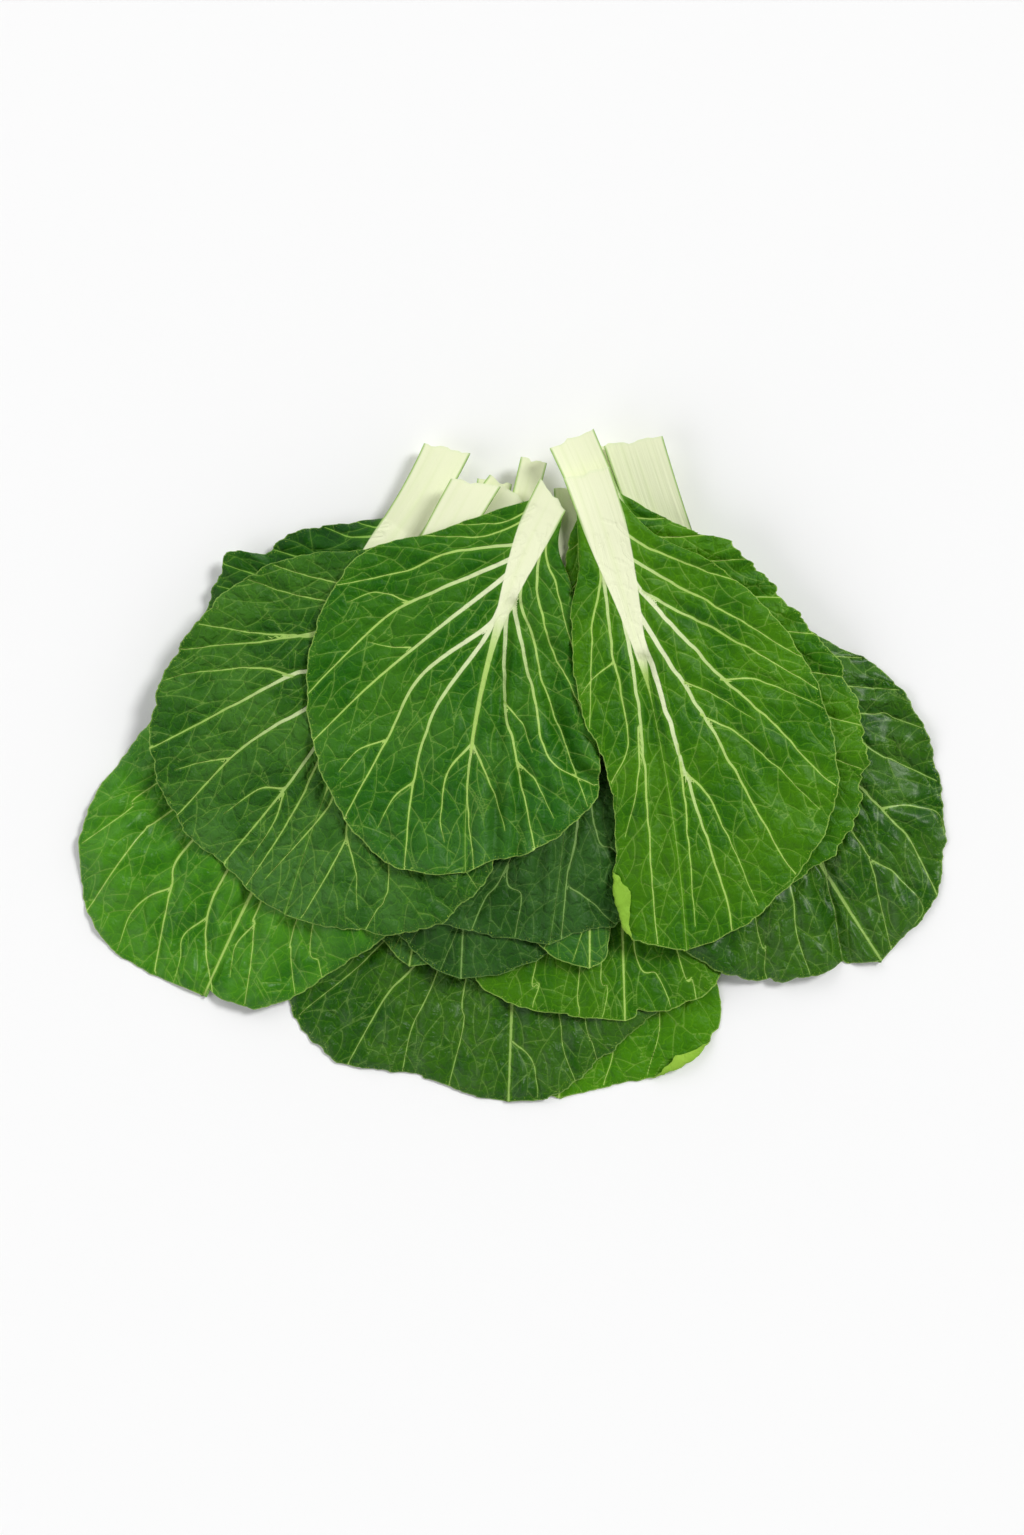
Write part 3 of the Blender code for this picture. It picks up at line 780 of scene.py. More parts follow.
@dataclass
class VeinTree:
    """The veins of one leaf: the stout laterals, and the twigs that grow from them until they meet.

    Attributes:
        leaf: The leaf.
        rib: Its middle line.
        margins: Its two margins.
        inside: Places all over the blade, which tell where a twig may grow.
        seed: Of the twigs.
        mains: The side veins, each with its places and half widths.
        twigs: The twigs, in the same way.
        rng: The seeded source of their wandering.
        low: The lowest corner of the grid of owners.
        owner: The number of the vein in each cell, 0 on the bare blade and -1 off it.
    """

    leaf: Leaf
    rib: Midrib
    margins: dict[Side, Margin]
    inside: np.ndarray
    seed: int
    mains: list[tuple[np.ndarray, np.ndarray]] = field(default_factory=list)
    twigs: list[tuple[np.ndarray, np.ndarray]] = field(default_factory=list)
    rng: np.random.Generator = field(init=False)
    low: np.ndarray = field(init=False)
    owner: np.ndarray = field(init=False)

    def grow(self) -> None:
        """Lays the laterals, then two generations of twigs."""
        self.rng = np.random.default_rng(self.seed)
        for lateral in self.leaf.veins:
            self.lay(lateral)
        for lateral in self.ruled():
            others = np.concatenate([points for points, _ in self.mains]) if self.mains else np.full((1, 2), 1e6)
            self.lay(lateral)
            points = self.mains[-1][0][:: int(4 / VEIN_STEP)]
            gap = np.linalg.norm(points[:, None] - others[None], axis=2).min(1)
            if np.mean(gap[len(gap) // 5 :] < CROWDED) > 0.2:
                self.mains.pop()
        self.low = self.inside.min(0) - 4
        size = ((self.inside.max(0) - self.low) + 8).astype(int)
        cells = (self.inside - self.low).astype(int)
        self.owner = np.full(tuple(size), -1.0)
        self.owner[cells[:, 0], cells[:, 1]] = 0
        self.owner = widest(self.owner, 1).astype(int)
        lines = [self.rib.at(np.linspace(self.leaf.start, 0.97, 260))] + [points for points, _ in self.mains]
        for number, points in enumerate(lines, 1):
            self.mark(points, number)
        parents = [(number, points) for number, points in enumerate(lines, 1)]
        for spacing, bend in TWIG_GENERATIONS:
            parents = self.sprout(parents, spacing, bend)

    def ruled(self) -> tuple[Lateral, ...]:
        """Places laterals by rule wherever none is listed.

        Returns:
            The laterals, stouter in the middle of the blade.
        """
        out = []
        for side in Side:
            taken = [v.share for v in self.leaf.veins if v.side is side and v.share is not None]
            for share in RULED_SHARES:
                share = share + self.rng.uniform(-0.015, 0.015)
                if all(abs(share - other) > 0.055 for other in taken):
                    origin = self.leaf.start * 0.9 + (1 - self.leaf.start) * (0.02 + 0.55 * share**1.25)
                    out.append(
                        Lateral(
                            side,
                            origin,
                            (),
                            share,
                            self.leaf.spare * (0.6 + 0.5 * math.sin(math.pi * share) * self.rng.uniform(0.5, 1.0)),
                        )
                    )
        return tuple(out)

    def lay(self, lateral: Lateral) -> None:
        """Draws one lateral and adds it to the stout veins.

        Args:
            lateral: Where it runs.
        """
        sign, control = lateral.side.value, []
        if lateral.origin is not None:
            control.append(self.rib.beside(lateral.origin, sign * 0.6 * float(self.rib.half_width(lateral.origin))))
        control += [self.rib.beside(s, w) for s, w in lateral.through]
        if lateral.share is not None:
            end = self.margins[lateral.side].at(lateral.share)
            chord = end - control[-1]
            if not lateral.through:
                bow = np.array([chord[1], -chord[0]]) * 0.09 * sign
                control += [control[0] + chord * 0.35 + bow, control[0] + chord * 0.68 + bow * 0.7]
            control.append(end - chord * (1.5 / max(4.0, float(np.linalg.norm(chord)))))
        points = evenly(smooth_curve(np.array(control)), VEIN_STEP)
        t = np.linspace(0, 1, len(points))
        shake = wander(t * len(points) * VEIN_STEP, self.rng, 0.035)[:, None] * 0.35 * np.sin(np.pi * t)[:, None]
        halves = lateral.weight * (0.24 + 0.84 * (1 - t) ** 1.3) * (0.75 + 0.25 * (lateral.origin is not None))
        self.mains.append((points + shake, halves))

    def mark(self, points: np.ndarray, number: int) -> None:
        """Writes a vein's number into the cells that it passes."""
        cells = (points - self.low).astype(int).clip(0, np.array(self.owner.shape) - 1)
        self.owner[cells[:, 0], cells[:, 1]] = number

    def sprout(self, parents: list[tuple[int, np.ndarray]], spacing: float, bend: float) -> list[
        tuple[int, np.ndarray]
    ]:
        """Grows twigs from veins, on alternate sides, until each one meets another vein or the margin.

        Args:
            parents: The veins they leave, with their numbers.
            spacing: Distance between one twig and the next.
            bend: Angle to the parent, in degrees.

        Returns:
            The new twigs, with their numbers.
        """
        grown = []
        number = int(self.owner.max()) + 1
        for parent, points in parents:
            steps = np.linalg.norm(np.diff(points, axis=0), axis=1)
            travelled = np.concatenate([[0], np.cumsum(steps)])
            at, sign = spacing * self.rng.uniform(0.4, 1.0), self.rng.choice([-1, 1])
            while at < travelled[-1] - 2:
                k = min(int(np.searchsorted(travelled, at)), len(points) - 2)
                heading = math.atan2(*(points[k + 1] - points[k])[::-1])
                turn = math.radians(bend + self.rng.uniform(-12, 12)) * sign
                twig = self.creep(points[k], heading + turn, -turn, parent)
                if len(twig) > 3:
                    self.mark(twig[2:], number)
                    halves = np.linspace(0.27, 0.12, len(twig)) * self.rng.uniform(0.7, 1.1)
                    self.twigs.append((twig, halves))
                    grown.append((number, twig))
                    number += 1
                at += spacing * self.rng.uniform(0.45, 0.85)
                sign = -sign
        return grown

    def creep(self, place: np.ndarray, heading: float, ease: float, parent: int) -> np.ndarray:
        """Grows one twig.

        Args:
            place: Where it leaves its parent.
            heading: Its first direction.
            ease: The whole angle by which it bends back towards its parent's direction.
            parent: The parent's number.

        Returns:
            Its places, at the spacing of all veins.
        """
        out, reach = [place], self.rng.uniform(18, 42)
        for step in range(int(reach)):
            heading += ease * 0.9 / reach + self.rng.normal(0, 0.035)
            place = place + np.array([math.cos(heading), math.sin(heading)])
            cell = tuple((place - self.low).astype(int))
            if not (0 <= cell[0] < self.owner.shape[0] and 0 <= cell[1] < self.owner.shape[1]):
                break
            met = int(self.owner[cell])
            if met < 0:
                break
            out.append(place)
            if met > 0 and (met != parent or step > 5) and step > 1:
                break
        return evenly(np.array(out), VEIN_STEP) if len(out) > 2 else np.array(out)

    def offsets(self, veins: list[tuple[np.ndarray, np.ndarray]], places: np.ndarray) -> tuple[np.ndarray, np.ndarray]:
        """Finds the nearest vein of each place.

        Args:
            veins: The veins to look among.
            places: The places, one row each.

        Returns:
            The way to the vein's middle with its half width, and the distance.
        """
        points = np.concatenate([p for p, _ in veins])
        halves = np.concatenate([h for _, h in veins])
        ways = np.concatenate([np.gradient(p, axis=0) for p, _ in veins])
        ways /= np.maximum(np.linalg.norm(ways, axis=1, keepdims=True), 1e-9)
        tree = KDTree(len(points))
        for k, point in enumerate(points):
            tree.insert((point[0], point[1], 0.0), k)
        tree.balance()
        nearest = np.array([tree.find((x, y, 0.0))[1] for x, y in places])
        offset = points[nearest] - places
        along = (offset * ways[nearest]).sum(1, keepdims=True)
        offset = offset - np.where(np.abs(along) < VEIN_STEP, along, 0) * ways[nearest]
        return np.column_stack([offset, halves[nearest]]), np.linalg.norm(offset, axis=1)


class Heap:
    """The heights of everything that is laid so far, over a grid of cells one millimetre wide."""

    def __init__(self) -> None:
        """Starts with a bare floor."""
        self.low = np.array([-260.0, -220.0])
        self.heights = np.zeros((520, 460))
        self.soft = self.heights

    def add(self, places: np.ndarray, tops: np.ndarray) -> None:
        """Adds the upper face of a leaf, and softens the whole for the next one.

        Args:
            places: Where the face's points lie.
            tops: Their heights.
        """
        cells = (places - self.low).astype(int).reshape(-1, 2)
        np.maximum.at(self.heights, (cells[:, 0], cells[:, 1]), tops.reshape(-1))
        self.soft = blur(widest(self.heights, 2), 2)

    def under(self, places: np.ndarray) -> np.ndarray:
        """Gives the height that lies under places.

        Args:
            places: The places, with x and y last.

        Returns:
            The softened height of the heap at each.
        """
        x, y = np.moveaxis(places - self.low - 0.5, -1, 0)
        i, j = np.floor(x).astype(int), np.floor(y).astype(int)
        fx, fy = x - i, y - j
        soft = self.soft
        return (soft[i, j] * (1 - fx) + soft[i + 1, j] * fx) * (1 - fy) + (
            soft[i, j + 1] * (1 - fx) + soft[i + 1, j + 1] * fx
        ) * fy


def settle(need: np.ndarray) -> np.ndarray:
    """Lets a stiff sheet sink until what lies beneath holds it up.

    Args:
        need: The least rise of each point.

    Returns:
        The rise of each point.
    """
    rows, columns = need.shape
    rise, grid = None, None
    for stride, rounds in ((16, 260), (8, 110), (4, 50)):
        r = np.unique(np.linspace(0, rows - 1, rows // stride + 2).round().astype(int))
        c = np.unique(np.linspace(0, columns - 1, columns // stride + 2).round().astype(int))
        pooled = widest(need, stride // 2 + 1)[np.ix_(r, c)]
        rise = np.full(pooled.shape, pooled.max()) if rise is None else stretch(rise, grid, (r, c))
        grid = (r, c)
        for _ in range(rounds):
            rise = np.maximum(pooled, blur(rise, 2) - SAG * stride**2 / 4)
    rise = blur(stretch(rise, grid, (np.arange(rows), np.arange(columns))), 10)
    for _ in range(3):
        rise = rise + blur(widest(np.maximum(need - rise, 0), 5), 8)
    return np.maximum(rise, need)


def stretch(values: np.ndarray, old: tuple[np.ndarray, np.ndarray], new: tuple[np.ndarray, np.ndarray]) -> np.ndarray:
    """Reads a grid at the rows and columns of another.

    Args:
        values: The grid.
        old: Its rows and columns.
        new: The rows and columns wanted.

    Returns:
        The values there.
    """
    tall = np.stack([np.interp(new[0], old[0], column) for column in values.T], 1)
    return np.stack([np.interp(new[1], old[1], row) for row in tall], 0)


class Graph:
    """Adds and joins the nodes of one material or node group."""

    def __init__(self, tree: bpy.types.NodeTree) -> None:
        """Takes the tree that the nodes go into."""
        self.tree = tree

    def node(self, kind: str, settings: dict | None = None, **inputs: object) -> bpy.types.Node:
        """Adds a node.

        Args:
            kind: Its type without the leading "ShaderNode".
            settings: Its own choices, by attribute name.
            inputs: What goes into its sockets, by name with underscores for spaces.

        Returns:
            The node.
        """
        made = self.tree.nodes.new("ShaderNode" + kind)
        for name, value in (settings or {}).items():
            setattr(made, name, value)
        for name, value in inputs.items():
            self.put(made.inputs[name.replace("_", " ")], value)
        return made

    def put(self, socket: bpy.types.NodeSocket, value: object) -> None:
        """Joins a socket to another, or sets its constant.

        Args:
            socket: The socket that is fed.
            value: Another socket, a number, or a colour without its alpha.
        """
        if isinstance(value, bpy.types.NodeSocket):
            self.tree.links.new(value, socket)
        elif isinstance(value, tuple) and len(value) == 3 and socket.type == "RGBA":
            socket.default_value = (*value, 1.0)
        else:
            socket.default_value = value

    def maths(self, operation: str, first: object, second: object = 0.0, clamp: bool = False) -> bpy.types.NodeSocket:
        """Works out one number from two.

        Args:
            operation: The node's operation.
            first: The first number or socket.
            second: The second one.
            clamp: Whether the result stays between 0 and 1.

        Returns:
            The result.
        """
        made = self.tree.nodes.new("ShaderNodeMath")
        made.operation, made.use_clamp = operation, clamp
        self.put(made.inputs[0], first)
        self.put(made.inputs[1], second)
        return made.outputs[0]

    def ramp(
        self, value: object, low: object, high: object, first: float = 0.0, last: float = 1.0
    ) -> bpy.types.NodeSocket:
        """Goes softly from first at low to last at high.

        Args:
            value: The number to place on the slope.
            low: Where it begins.
            high: Where it ends.
            first: The result below low.
            last: The result above high.

        Returns:
            The result.
        """
        made = self.node(
            "MapRange",
            {"interpolation_type": "SMOOTHSTEP"},
            Value=value,
            From_Min=low,
            From_Max=high,
            To_Min=first,
            To_Max=last,
        )
        return made.outputs["Result"]

    def blend(self, share: object, first: object, second: object) -> bpy.types.NodeSocket:
        """Mixes two colours.

        Args:
            share: How much of the second.
            first: The first colour.
            second: The second colour.

        Returns:
            The mixed colour.
        """
        made = self.tree.nodes.new("ShaderNodeMix")
        made.data_type = "RGBA"
        for index, value in ((0, share), (6, first), (7, second)):
            self.put(made.inputs[index], value)
        return made.outputs[2]

    def mark(self, name: str) -> tuple[bpy.types.NodeSocket, ...]:
        """Reads a vector attribute of the leaf as three numbers.

        Args:
            name: The attribute.

        Returns:
            Its three parts.
        """
        read = self.node("Attribute", {"attribute_name": name, "attribute_type": "GEOMETRY"})
        split = self.node("SeparateXYZ", Vector=read.outputs["Vector"])
        return tuple(split.outputs)


def new_group(name: str, inputs: dict[str, str], outputs: dict[str, str]) -> tuple[
    bpy.types.NodeTree, Graph, dict, bpy.types.Node
]:
    """Starts a shader node group.

    Args:
        name: Its name.
        inputs: The sockets that go in, each with its socket type.
        outputs: The sockets that come out, each with its socket type.

    Returns:
        The group, a graph to fill it with, its input sockets by name, and its output node.
    """
    tree = bpy.data.node_groups.new(name, "ShaderNodeTree")
    for way, sockets in (("INPUT", inputs), ("OUTPUT", outputs)):
        for socket, kind in sockets.items():
            tree.interface.new_socket(name=socket, in_out=way, socket_type="NodeSocket" + kind)
    start, end = tree.nodes.new("NodeGroupInput"), tree.nodes.new("NodeGroupOutput")
    return tree, Graph(tree), {name: start.outputs[name] for name in inputs}, end


@dataclass
class LeafSkins:
    """The shared node groups of the leaves, and the material that each leaf gets from them."""

    net_cell: float = 8.5  # width of the meshes of the vein net
    fine_cell: float = 2.9  # width of the meshes within them
    net_tint: float = 0.40  # how much the vein net lightens the blade
    fine_tint: float = 0.16  # how much the meshes within it do
    twig_tint: float = 0.23  # how much a twig does
    main_tint: float = 0.95  # how much a side vein does
    halo_tint: float = 0.50  # how much the band beside a side vein does
    blister_rise: float = 1.7  # height of the blisters for a finish's blister of one
    specular: float = 0.11
    coat_roughness: float = 0.28
    specks: Colour = (0.42, 0.60, 0.06)  # yellowed spots of the margin
    streaks: Colour = (0.55, 0.72, 0.22)  # green streaks of a petiole
    edging: Colour = (0.22, 0.45, 0.04)  # green edges of a petiole
    cut_end: Colour = (0.74, 0.83, 0.52)  # flesh of a cut end
    groups: dict[str, bpy.types.NodeTree] = field(default_factory=dict)

    def build(self) -> None:
        """Builds the groups once, for every leaf to share."""
        self.groups = {"line": self.vein_line(), "net": self.vein_net(), "stem": self.stem_grain()}

    def vein_line(self) -> bpy.types.NodeTree:
        """Builds the group that turns the way to a vein into a crisp line and a soft halo.

        Returns:
            The group.
        """
        tree, g, given, end = new_group(
            "Vein line",
            {"X": "Float", "Y": "Float", "Half": "Float", "Far": "Float"},
            {"Line": "Float", "Halo": "Float"},
        )
        length = g.maths(
            "SQRT",
            g.maths("ADD", g.maths("MULTIPLY", given["X"], given["X"]), g.maths("MULTIPLY", given["Y"], given["Y"])),
        )
        crisp = g.ramp(length, g.maths("SUBTRACT", given["Half"], 0.16), g.maths("ADD", given["Half"], 0.16), 1.0, 0.0)
        near = g.maths("LESS_THAN", given["Far"], g.maths("ADD", g.maths("MAXIMUM", given["Half"], 0.75), 0.35))
        excess = g.maths("SUBTRACT", given["Far"], given["Half"])
        broad = g.maths("MULTIPLY", g.ramp(excess, -0.25, 0.25, 1.0, 0.0), g.ramp(given["Half"], 0.6, 0.9))
        g.put(end.inputs["Line"], g.maths("MAXIMUM", g.maths("MULTIPLY", crisp, near), broad))
        g.put(
            end.inputs["Halo"],
            g.ramp(given["Far"], given["Half"], g.maths("ADD", g.maths("MULTIPLY", given["Half"], 2.6), 0.9), 1.0, 0.0),
        )
        return tree

    def vein_net(self) -> bpy.types.NodeTree:
        """Builds the group for the net of fine veins and the blisters that stand up between them.

        Returns:
            The group.
        """
        tree, g, given, end = new_group(
            "Vein net",
            {"Place": "Vector"},
            {"Coarse": "Float", "Fine": "Float", "Blister": "Float", "Patch": "Float", "Speck": "Float"},
        )
        shake = g.node("TexNoise", {"noise_dimensions": "2D"}, Vector=given["Place"], Scale=0.16, Detail=2.0)
        moved = g.node("VectorMath", {"operation": "SCALE"}, Scale=5.0)
        g.put(moved.inputs[0], shake.outputs["Color"])
        bent = g.node("VectorMath", {"operation": "ADD"})
        g.put(bent.inputs[0], given["Place"])
        g.put(bent.inputs[1], moved.outputs[0])
        for name, cell, width in (("Coarse", self.net_cell, 0.045), ("Fine", self.fine_cell, 0.07)):
            made = g.node(
                "TexVoronoi",
                {"voronoi_dimensions": "2D", "feature": "DISTANCE_TO_EDGE"},
                Vector=bent.outputs[0],
                Scale=1 / cell,
            )
            g.put(end.inputs[name], g.ramp(made.outputs["Distance"], 0.0, width, 1.0, 0.0))
            if name == "Coarse":
                puff = g.ramp(made.outputs["Distance"], 0.0, 0.42)
            else:
                small = g.ramp(made.outputs["Distance"], 0.0, 0.35)
        g.put(end.inputs["Blister"], g.maths("ADD", puff, g.maths("MULTIPLY", small, 0.22)))
        patch = g.node(
            "TexNoise", {"noise_dimensions": "2D"}, Vector=given["Place"], Scale=0.028, Detail=3.0, Roughness=0.6
        )
        g.put(end.inputs["Patch"], g.ramp(patch.outputs["Fac"], 0.36, 0.64))
        speck = g.node("TexNoise", {"noise_dimensions": "2D"}, Vector=given["Place"], Scale=1.3, Detail=3.0)
        g.put(end.inputs["Speck"], speck.outputs["Fac"])
        return tree

    def stem_grain(self) -> bpy.types.NodeTree:
        """Builds the group for the long ribs and faint green streaks of a petiole.

        Returns:
            The group.
        """
        tree, g, given, end = new_group(
            "Stem grain", {"Across": "Float", "Along": "Float"}, {"Ribs": "Float", "Streak": "Float"}
        )
        for name, across, along, detail in (("Ribs", 0.55, 0.012, 2.0), ("Streak", 0.22, 0.006, 3.0)):
            place = g.node(
                "CombineXYZ",
                X=g.maths("MULTIPLY", given["Across"], across),
                Y=g.maths("MULTIPLY", given["Along"], along),
            )
            made = g.node("TexNoise", {"noise_dimensions": "2D"}, Vector=place.outputs[0], Scale=1.0, Detail=detail)
            g.put(end.inputs[name], made.outputs["Fac"])
        return tree

    def use(self, graph: Graph, name: str, **inputs: object) -> bpy.types.Node:
        """Places one of the shared groups in a material.

        Args:
            graph: The material's graph.
            name: Which group.
            inputs: What goes into its sockets.

        Returns:
            The group's node.
        """
        made = graph.tree.nodes.new("ShaderNodeGroup")
        made.node_tree = self.groups[name]
        for socket, value in inputs.items():
            graph.put(made.inputs[socket], value)
        return made

    def material(self, leaf: Leaf, number: int) -> bpy.types.Material:
        """Makes the material of one leaf.

        Args:
            leaf: The leaf, whose tone gives the finish.
            number: Which leaf it is, so that no two have the same net.

        Returns:
            The material.
        """
        finish: LeafFinish = leaf.tone.value
        made = bpy.data.materials.new(f"{leaf.name}_leaf")
        made.use_nodes = True
        g = Graph(made.node_tree)
        shader = made.node_tree.nodes["Principled BSDF"]
        place = g.node("Mapping")
        g.put(place.inputs["Vector"], g.node("TexCoord").outputs["Object"])
        place.inputs["Scale"].default_value = (1000.0, 1000.0, 1000.0)
        place.inputs["Location"].default_value = (137.0 * number, 71.0 * number, 0.0)
        across, along, half = g.mark("rib")
        under, edge, stem = g.mark("skin")
        # cut end, petiole haze, and how far up the quilting a place is, which sets a painted highlight
        cut, haze, crown = g.mark("cut_haze_and_highlight")
        vein, twig = g.mark("vein"), g.mark("twig")
        far = g.mark("reach")
        main = self.use(g, "line", X=vein[0], Y=vein[1], Half=vein[2], Far=far[0])
        small = self.use(g, "line", X=twig[0], Y=twig[1], Half=twig[2], Far=far[1])
        net = self.use(g, "net", Place=place.outputs[0])
        grain = self.use(g, "stem", Across=across, Along=along)

        width = g.maths("ABSOLUTE", across)
        rib = g.ramp(width, g.maths("SUBTRACT", half, 0.25), g.maths("ADD", half, 0.35), 1.0, 0.0)
        beside = g.ramp(width, half, g.maths("ADD", g.maths("MULTIPLY", half, 1.25), 2.2), 1.0, 0.0)
        blade = g.blend(g.maths("MULTIPLY", net.outputs["Patch"], 0.85), finish.deep, finish.fresh)
        # Towards the tip the blade turns to the tip colour, partly the leaf's own tone and partly a painted grey sheen.
        lower = g.ramp(along, leaf.length * 0.42, leaf.length * 0.95)
        blade = g.blend(
            g.maths("MULTIPLY", lower, g.ramp(net.outputs["Patch"], 0.0, 1.0, 0.25, 0.75)), blade, finish.tip
        )
        # Painted highlight: the crowns of the quilting are lightened towards the fresh green.
        blade = g.blend(g.maths("MULTIPLY", crown, 0.22, True), blade, finish.fresh)
        blade = g.blend(g.maths("MULTIPLY", net.outputs["Fine"], self.fine_tint), blade, finish.halo)
        blade = g.blend(g.maths("MULTIPLY", net.outputs["Coarse"], self.net_tint), blade, finish.halo)
        blade = g.blend(g.maths("MULTIPLY", small.outputs["Halo"], 0.16), blade, finish.halo)
        blade = g.blend(
            g.maths("MULTIPLY", g.maths("MAXIMUM", main.outputs["Halo"], beside), self.halo_tint), blade, finish.halo
        )
        blade = g.blend(g.ramp(edge, 0.2, 0.8, 0.5, 0.0), blade, finish.vein)
        dots = g.maths("MULTIPLY", g.ramp(net.outputs["Speck"], 0.66, 0.72), g.ramp(edge, 0.4, 5.0, 0.7, 0.0))
        blade = g.blend(dots, blade, self.specks)
        back = g.blend(g.maths("MULTIPLY", net.outputs["Patch"], 0.4), finish.back, finish.halo)
        skin = g.blend(under, blade, back)
        vein_colour = g.blend(g.ramp(vein[2], 0.45, 1.3), finish.vein, finish.stem)
        skin = g.blend(g.maths("MULTIPLY", small.outputs["Line"], self.twig_tint), skin, finish.vein)
        skin = g.blend(g.maths("MULTIPLY", main.outputs["Line"], self.main_tint), skin, vein_colour)
        flesh = g.blend(g.ramp(half, 0.9, 3.0), finish.vein, finish.stem)
        streak = g.maths("MULTIPLY", g.ramp(grain.outputs["Streak"], 0.42, 0.78), 0.15)
        flesh = g.blend(streak, flesh, self.streaks)
        lace = g.maths("MULTIPLY", g.ramp(width, g.maths("SUBTRACT", half, 1.3), g.maths("SUBTRACT", half, 0.15)), stem)
        flesh = g.blend(g.maths("MULTIPLY", lace, 0.8), flesh, self.edging)
        flesh = g.blend(
            g.maths("MULTIPLY", cut, g.ramp(net.outputs["Speck"], 0.35, 0.7, 0.25, 0.8)), flesh, self.cut_end
        )
        skin = g.blend(rib, skin, flesh)

        bare = g.maths("SUBTRACT", 1.0, g.maths("MAXIMUM", rib, main.outputs["Line"]))
        height = g.maths(
            "MULTIPLY", g.maths("MULTIPLY", net.outputs["Blister"], finish.blister * self.blister_rise), bare
        )
        height = g.maths("SUBTRACT", height, g.maths("MULTIPLY", small.outputs["Halo"], 0.16))
        height = g.maths("SUBTRACT", height, g.maths("MULTIPLY", main.outputs["Halo"], 0.22))
        height = g.maths("ADD", height, g.maths("MULTIPLY", main.outputs["Line"], 0.10))
        height = g.maths("ADD", height, g.maths("MULTIPLY", g.maths("MULTIPLY", grain.outputs["Ribs"], rib), 0.26))
        height = g.maths("ADD", height, g.maths("MULTIPLY", net.outputs["Speck"], 0.03))
        height = g.maths("MULTIPLY", height, g.ramp(under, 0.0, 1.0, 1.0, -0.8))
        bump = g.node("Bump", Height=height, Strength=1.0, Distance=0.001)
        g.put(shader.inputs["Base Color"], skin)
        g.put(shader.inputs["Normal"], bump.outputs["Normal"])
        rough = g.maths(
            "ADD",
            g.ramp(net.outputs["Speck"], 0.2, 0.8, finish.roughness - 0.05, finish.roughness + 0.07),
            g.maths("MULTIPLY", under, 0.16),
        )
        g.put(shader.inputs["Roughness"], g.maths("ADD", rough, g.maths("MULTIPLY", haze, 0.05), True))
        shader.inputs["Specular IOR Level"].default_value = self.specular
        shader.inputs["Coat Weight"].default_value = finish.coat
        shader.inputs["Coat Roughness"].default_value = self.coat_roughness
        return made


